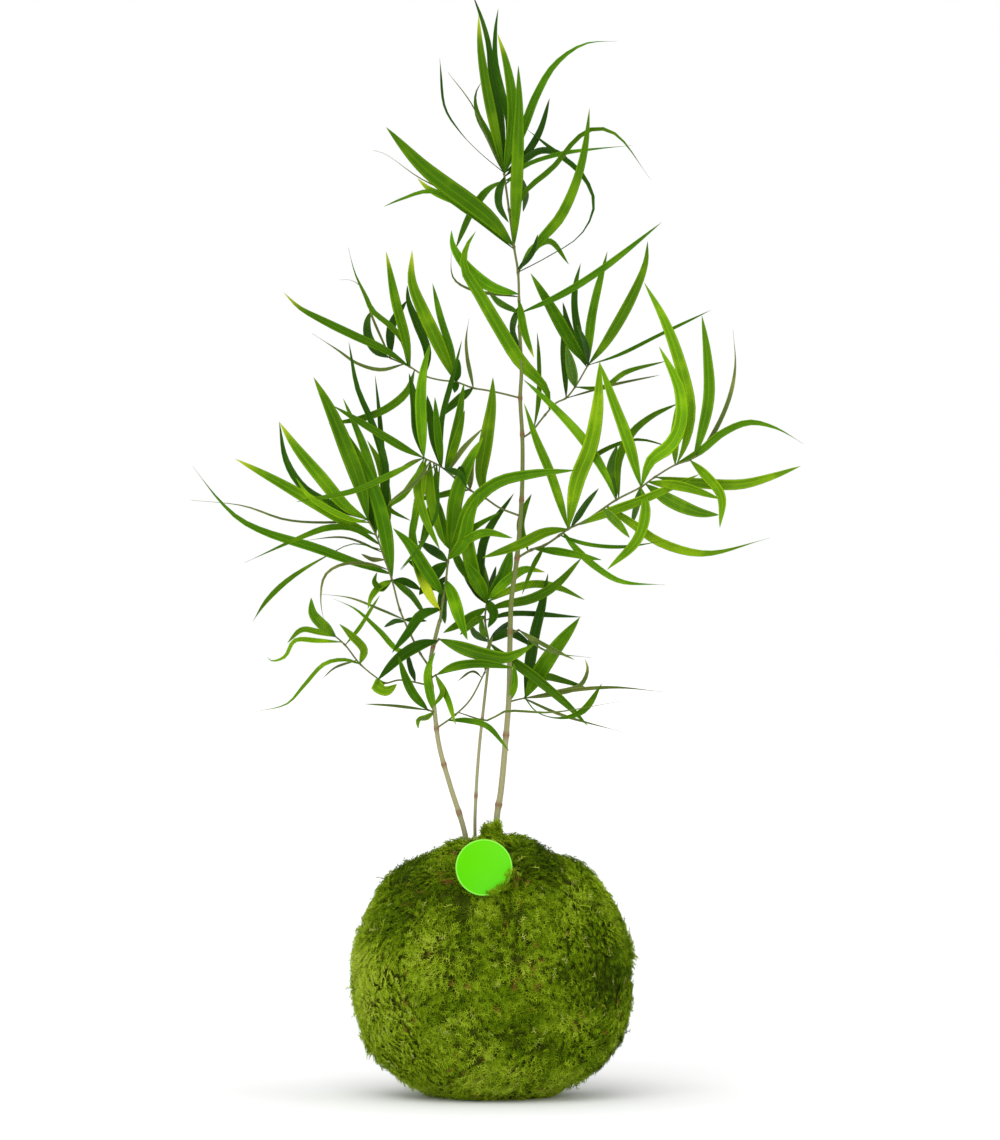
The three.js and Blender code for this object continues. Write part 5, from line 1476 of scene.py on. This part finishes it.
grow_spray("right_low", (0.75, 0.6), [
    (7.8, 3, 197), (11.5, 8, 198), (16, 14, 199),
], [
    ("mid", 2, 8, 5, -18, 21.5, 209, 30.3, 223, 43.5, 239.5),
    ("deep", 2, 6, 15, 16, 17.5, 212, 20.5, 231, 24.3, 246, 27.5, 261.5),
    ("grey~", 2, 2.4, 30, -16, 38.5, 203, 60, 204.5, 86, 202),
    ("mid^", 2, 3.6, 15, -36, 22, 192, 33, 189, 44.5, 192.5, 55, 207),
    ("grey~", 1.9, 1.8, 25, 18, 33.5, 191, 64.5, 182),
    ("mid", 1.9, 4.2, 20, 36, 20, 207, 26, 210, 35, 208, 47, 204),
    ("grey*", 2, 3.2, 20, 46, 30, 201.5, 43.5, 205.5, 47.2, 213, 46, 218.6),
    ("light", 0.1, 3.8, 15, -6, 10.5, 206, 10.5, 216.5),
])


# ---------------------------------------------------------------- Right bud spray
# A bud on the tall cane's right side, at one of its joints. It has opened into two thin grey-green leaves,
# which droop to the right.

grow_spray("right_bud", (0.75, 0.65), [
    (8.6, 2, 231.5), (13, -3, 233),
], [
    ("grey", 1, 2.3, 15, -22, 26, 225.5, 41, 218),
    ("grey~", 1, 1.3, 30, -34, 26, 223, 49.5, 219),
])


# ---------------------------------------------------------------- Floor, light and camera
# The plant stands on a wide white table under soft even light, brighter from the upper left. The camera
# looks level at the middle of the plant from far off.

EYE_DISTANCE = 3.2
EYE_HEIGHT = 0.263
FRAME_MIDDLE = 0.0035  # m right of the plant's own middle
FRAME_HEIGHT = 0.570
SENSOR = 36  # mm
SIGHT = (0.1, 60)  # m, from the nearest to the farthest thing that the camera sees
TABLE_RADIUS = 14
TABLE_SIDES = 96
TABLE_WHITE = (0.88, 0.88, 0.88, 1)
TABLE_ROUGHNESS = 0.8
# The table glows, more the farther it is from the plant, so that it shows white; its weaker glow near the
# plant paints a darker pool round the plant, as painted shadow.
TABLE_GLOW = [(0.03, 0.03), (0.08, 0.13), (0.16, 0.21), (1.0, 0.54)]  # m from the plant, and glow there
SKY_LIGHT = 0.66
SOFT_BOXES = [  # name, place, aim, size and power
    ("key_light", (-0.45, -1.8, 1.7), (0, 0, 0.2), 2.0, 36),
    ("low_light", (-0.5, -1.7, 0.12), (0, 0, 0.06), 0.7, 6),
    ("fill_light", (1.8, -1.2, 0.9), (0, 0, 0.25), 1.4, 7),
]

scene = bpy.context.scene
scene.view_settings.view_transform = "Standard"
table_white, tree, shader = new_material("table_white")
shader.inputs["Base Color"].default_value = TABLE_WHITE
shader.inputs["Roughness"].default_value = TABLE_ROUGHNESS
# Painted light and painted shadow: the table's glow rises with its distance from the plant.
away = put(tree, "ShaderNodeVectorMath", {"operation": "LENGTH"})
feed(tree, away, 0, place_on_piece(tree))
glows = [(place, (glow, glow, glow, 1)) for place, glow in TABLE_GLOW]
feed(tree, shader, "Emission Color", ramp(tree, away.outputs["Value"], glows))
shader.inputs["Emission Strength"].default_value = 1.0
bpy.ops.mesh.primitive_circle_add(
    vertices=TABLE_SIDES, radius=TABLE_RADIUS, fill_type="NGON", location=(0, 0, 0)
)
floor = bpy.context.object
floor.name = "table"
floor.data.materials.append(table_white)

scene.world = bpy.data.worlds.new("studio")
scene.world.use_nodes = True
tree = scene.world.node_tree
sky = tree.nodes["Background"]
sky.inputs["Color"].default_value = (1, 1, 1, 1)
seen_by_camera = put(tree, "ShaderNodeLightPath").outputs["Is Camera Ray"]
feed(tree, sky, "Strength", scaled(tree, seen_by_camera, least=SKY_LIGHT))

for name, place, aim, size, power in SOFT_BOXES:
    lamp = bpy.data.lights.new(name, "AREA")
    lamp.size = size
    lamp.energy = power
    box = bpy.data.objects.new(name, lamp)
    box.location = place
    box.rotation_euler = (Vector(aim) - Vector(place)).to_track_quat("-Z", "Y").to_euler()
    scene.collection.objects.link(box)

lens = bpy.data.cameras.new("camera")
lens.sensor_width = SENSOR
lens.lens = SENSOR * EYE_DISTANCE / FRAME_HEIGHT
lens.clip_start, lens.clip_end = SIGHT
camera = bpy.data.objects.new("camera", lens)
camera.location = (FRAME_MIDDLE, -EYE_DISTANCE, EYE_HEIGHT)
camera.rotation_euler = (math.pi / 2, 0, 0)
scene.collection.objects.link(camera)
scene.camera = camera
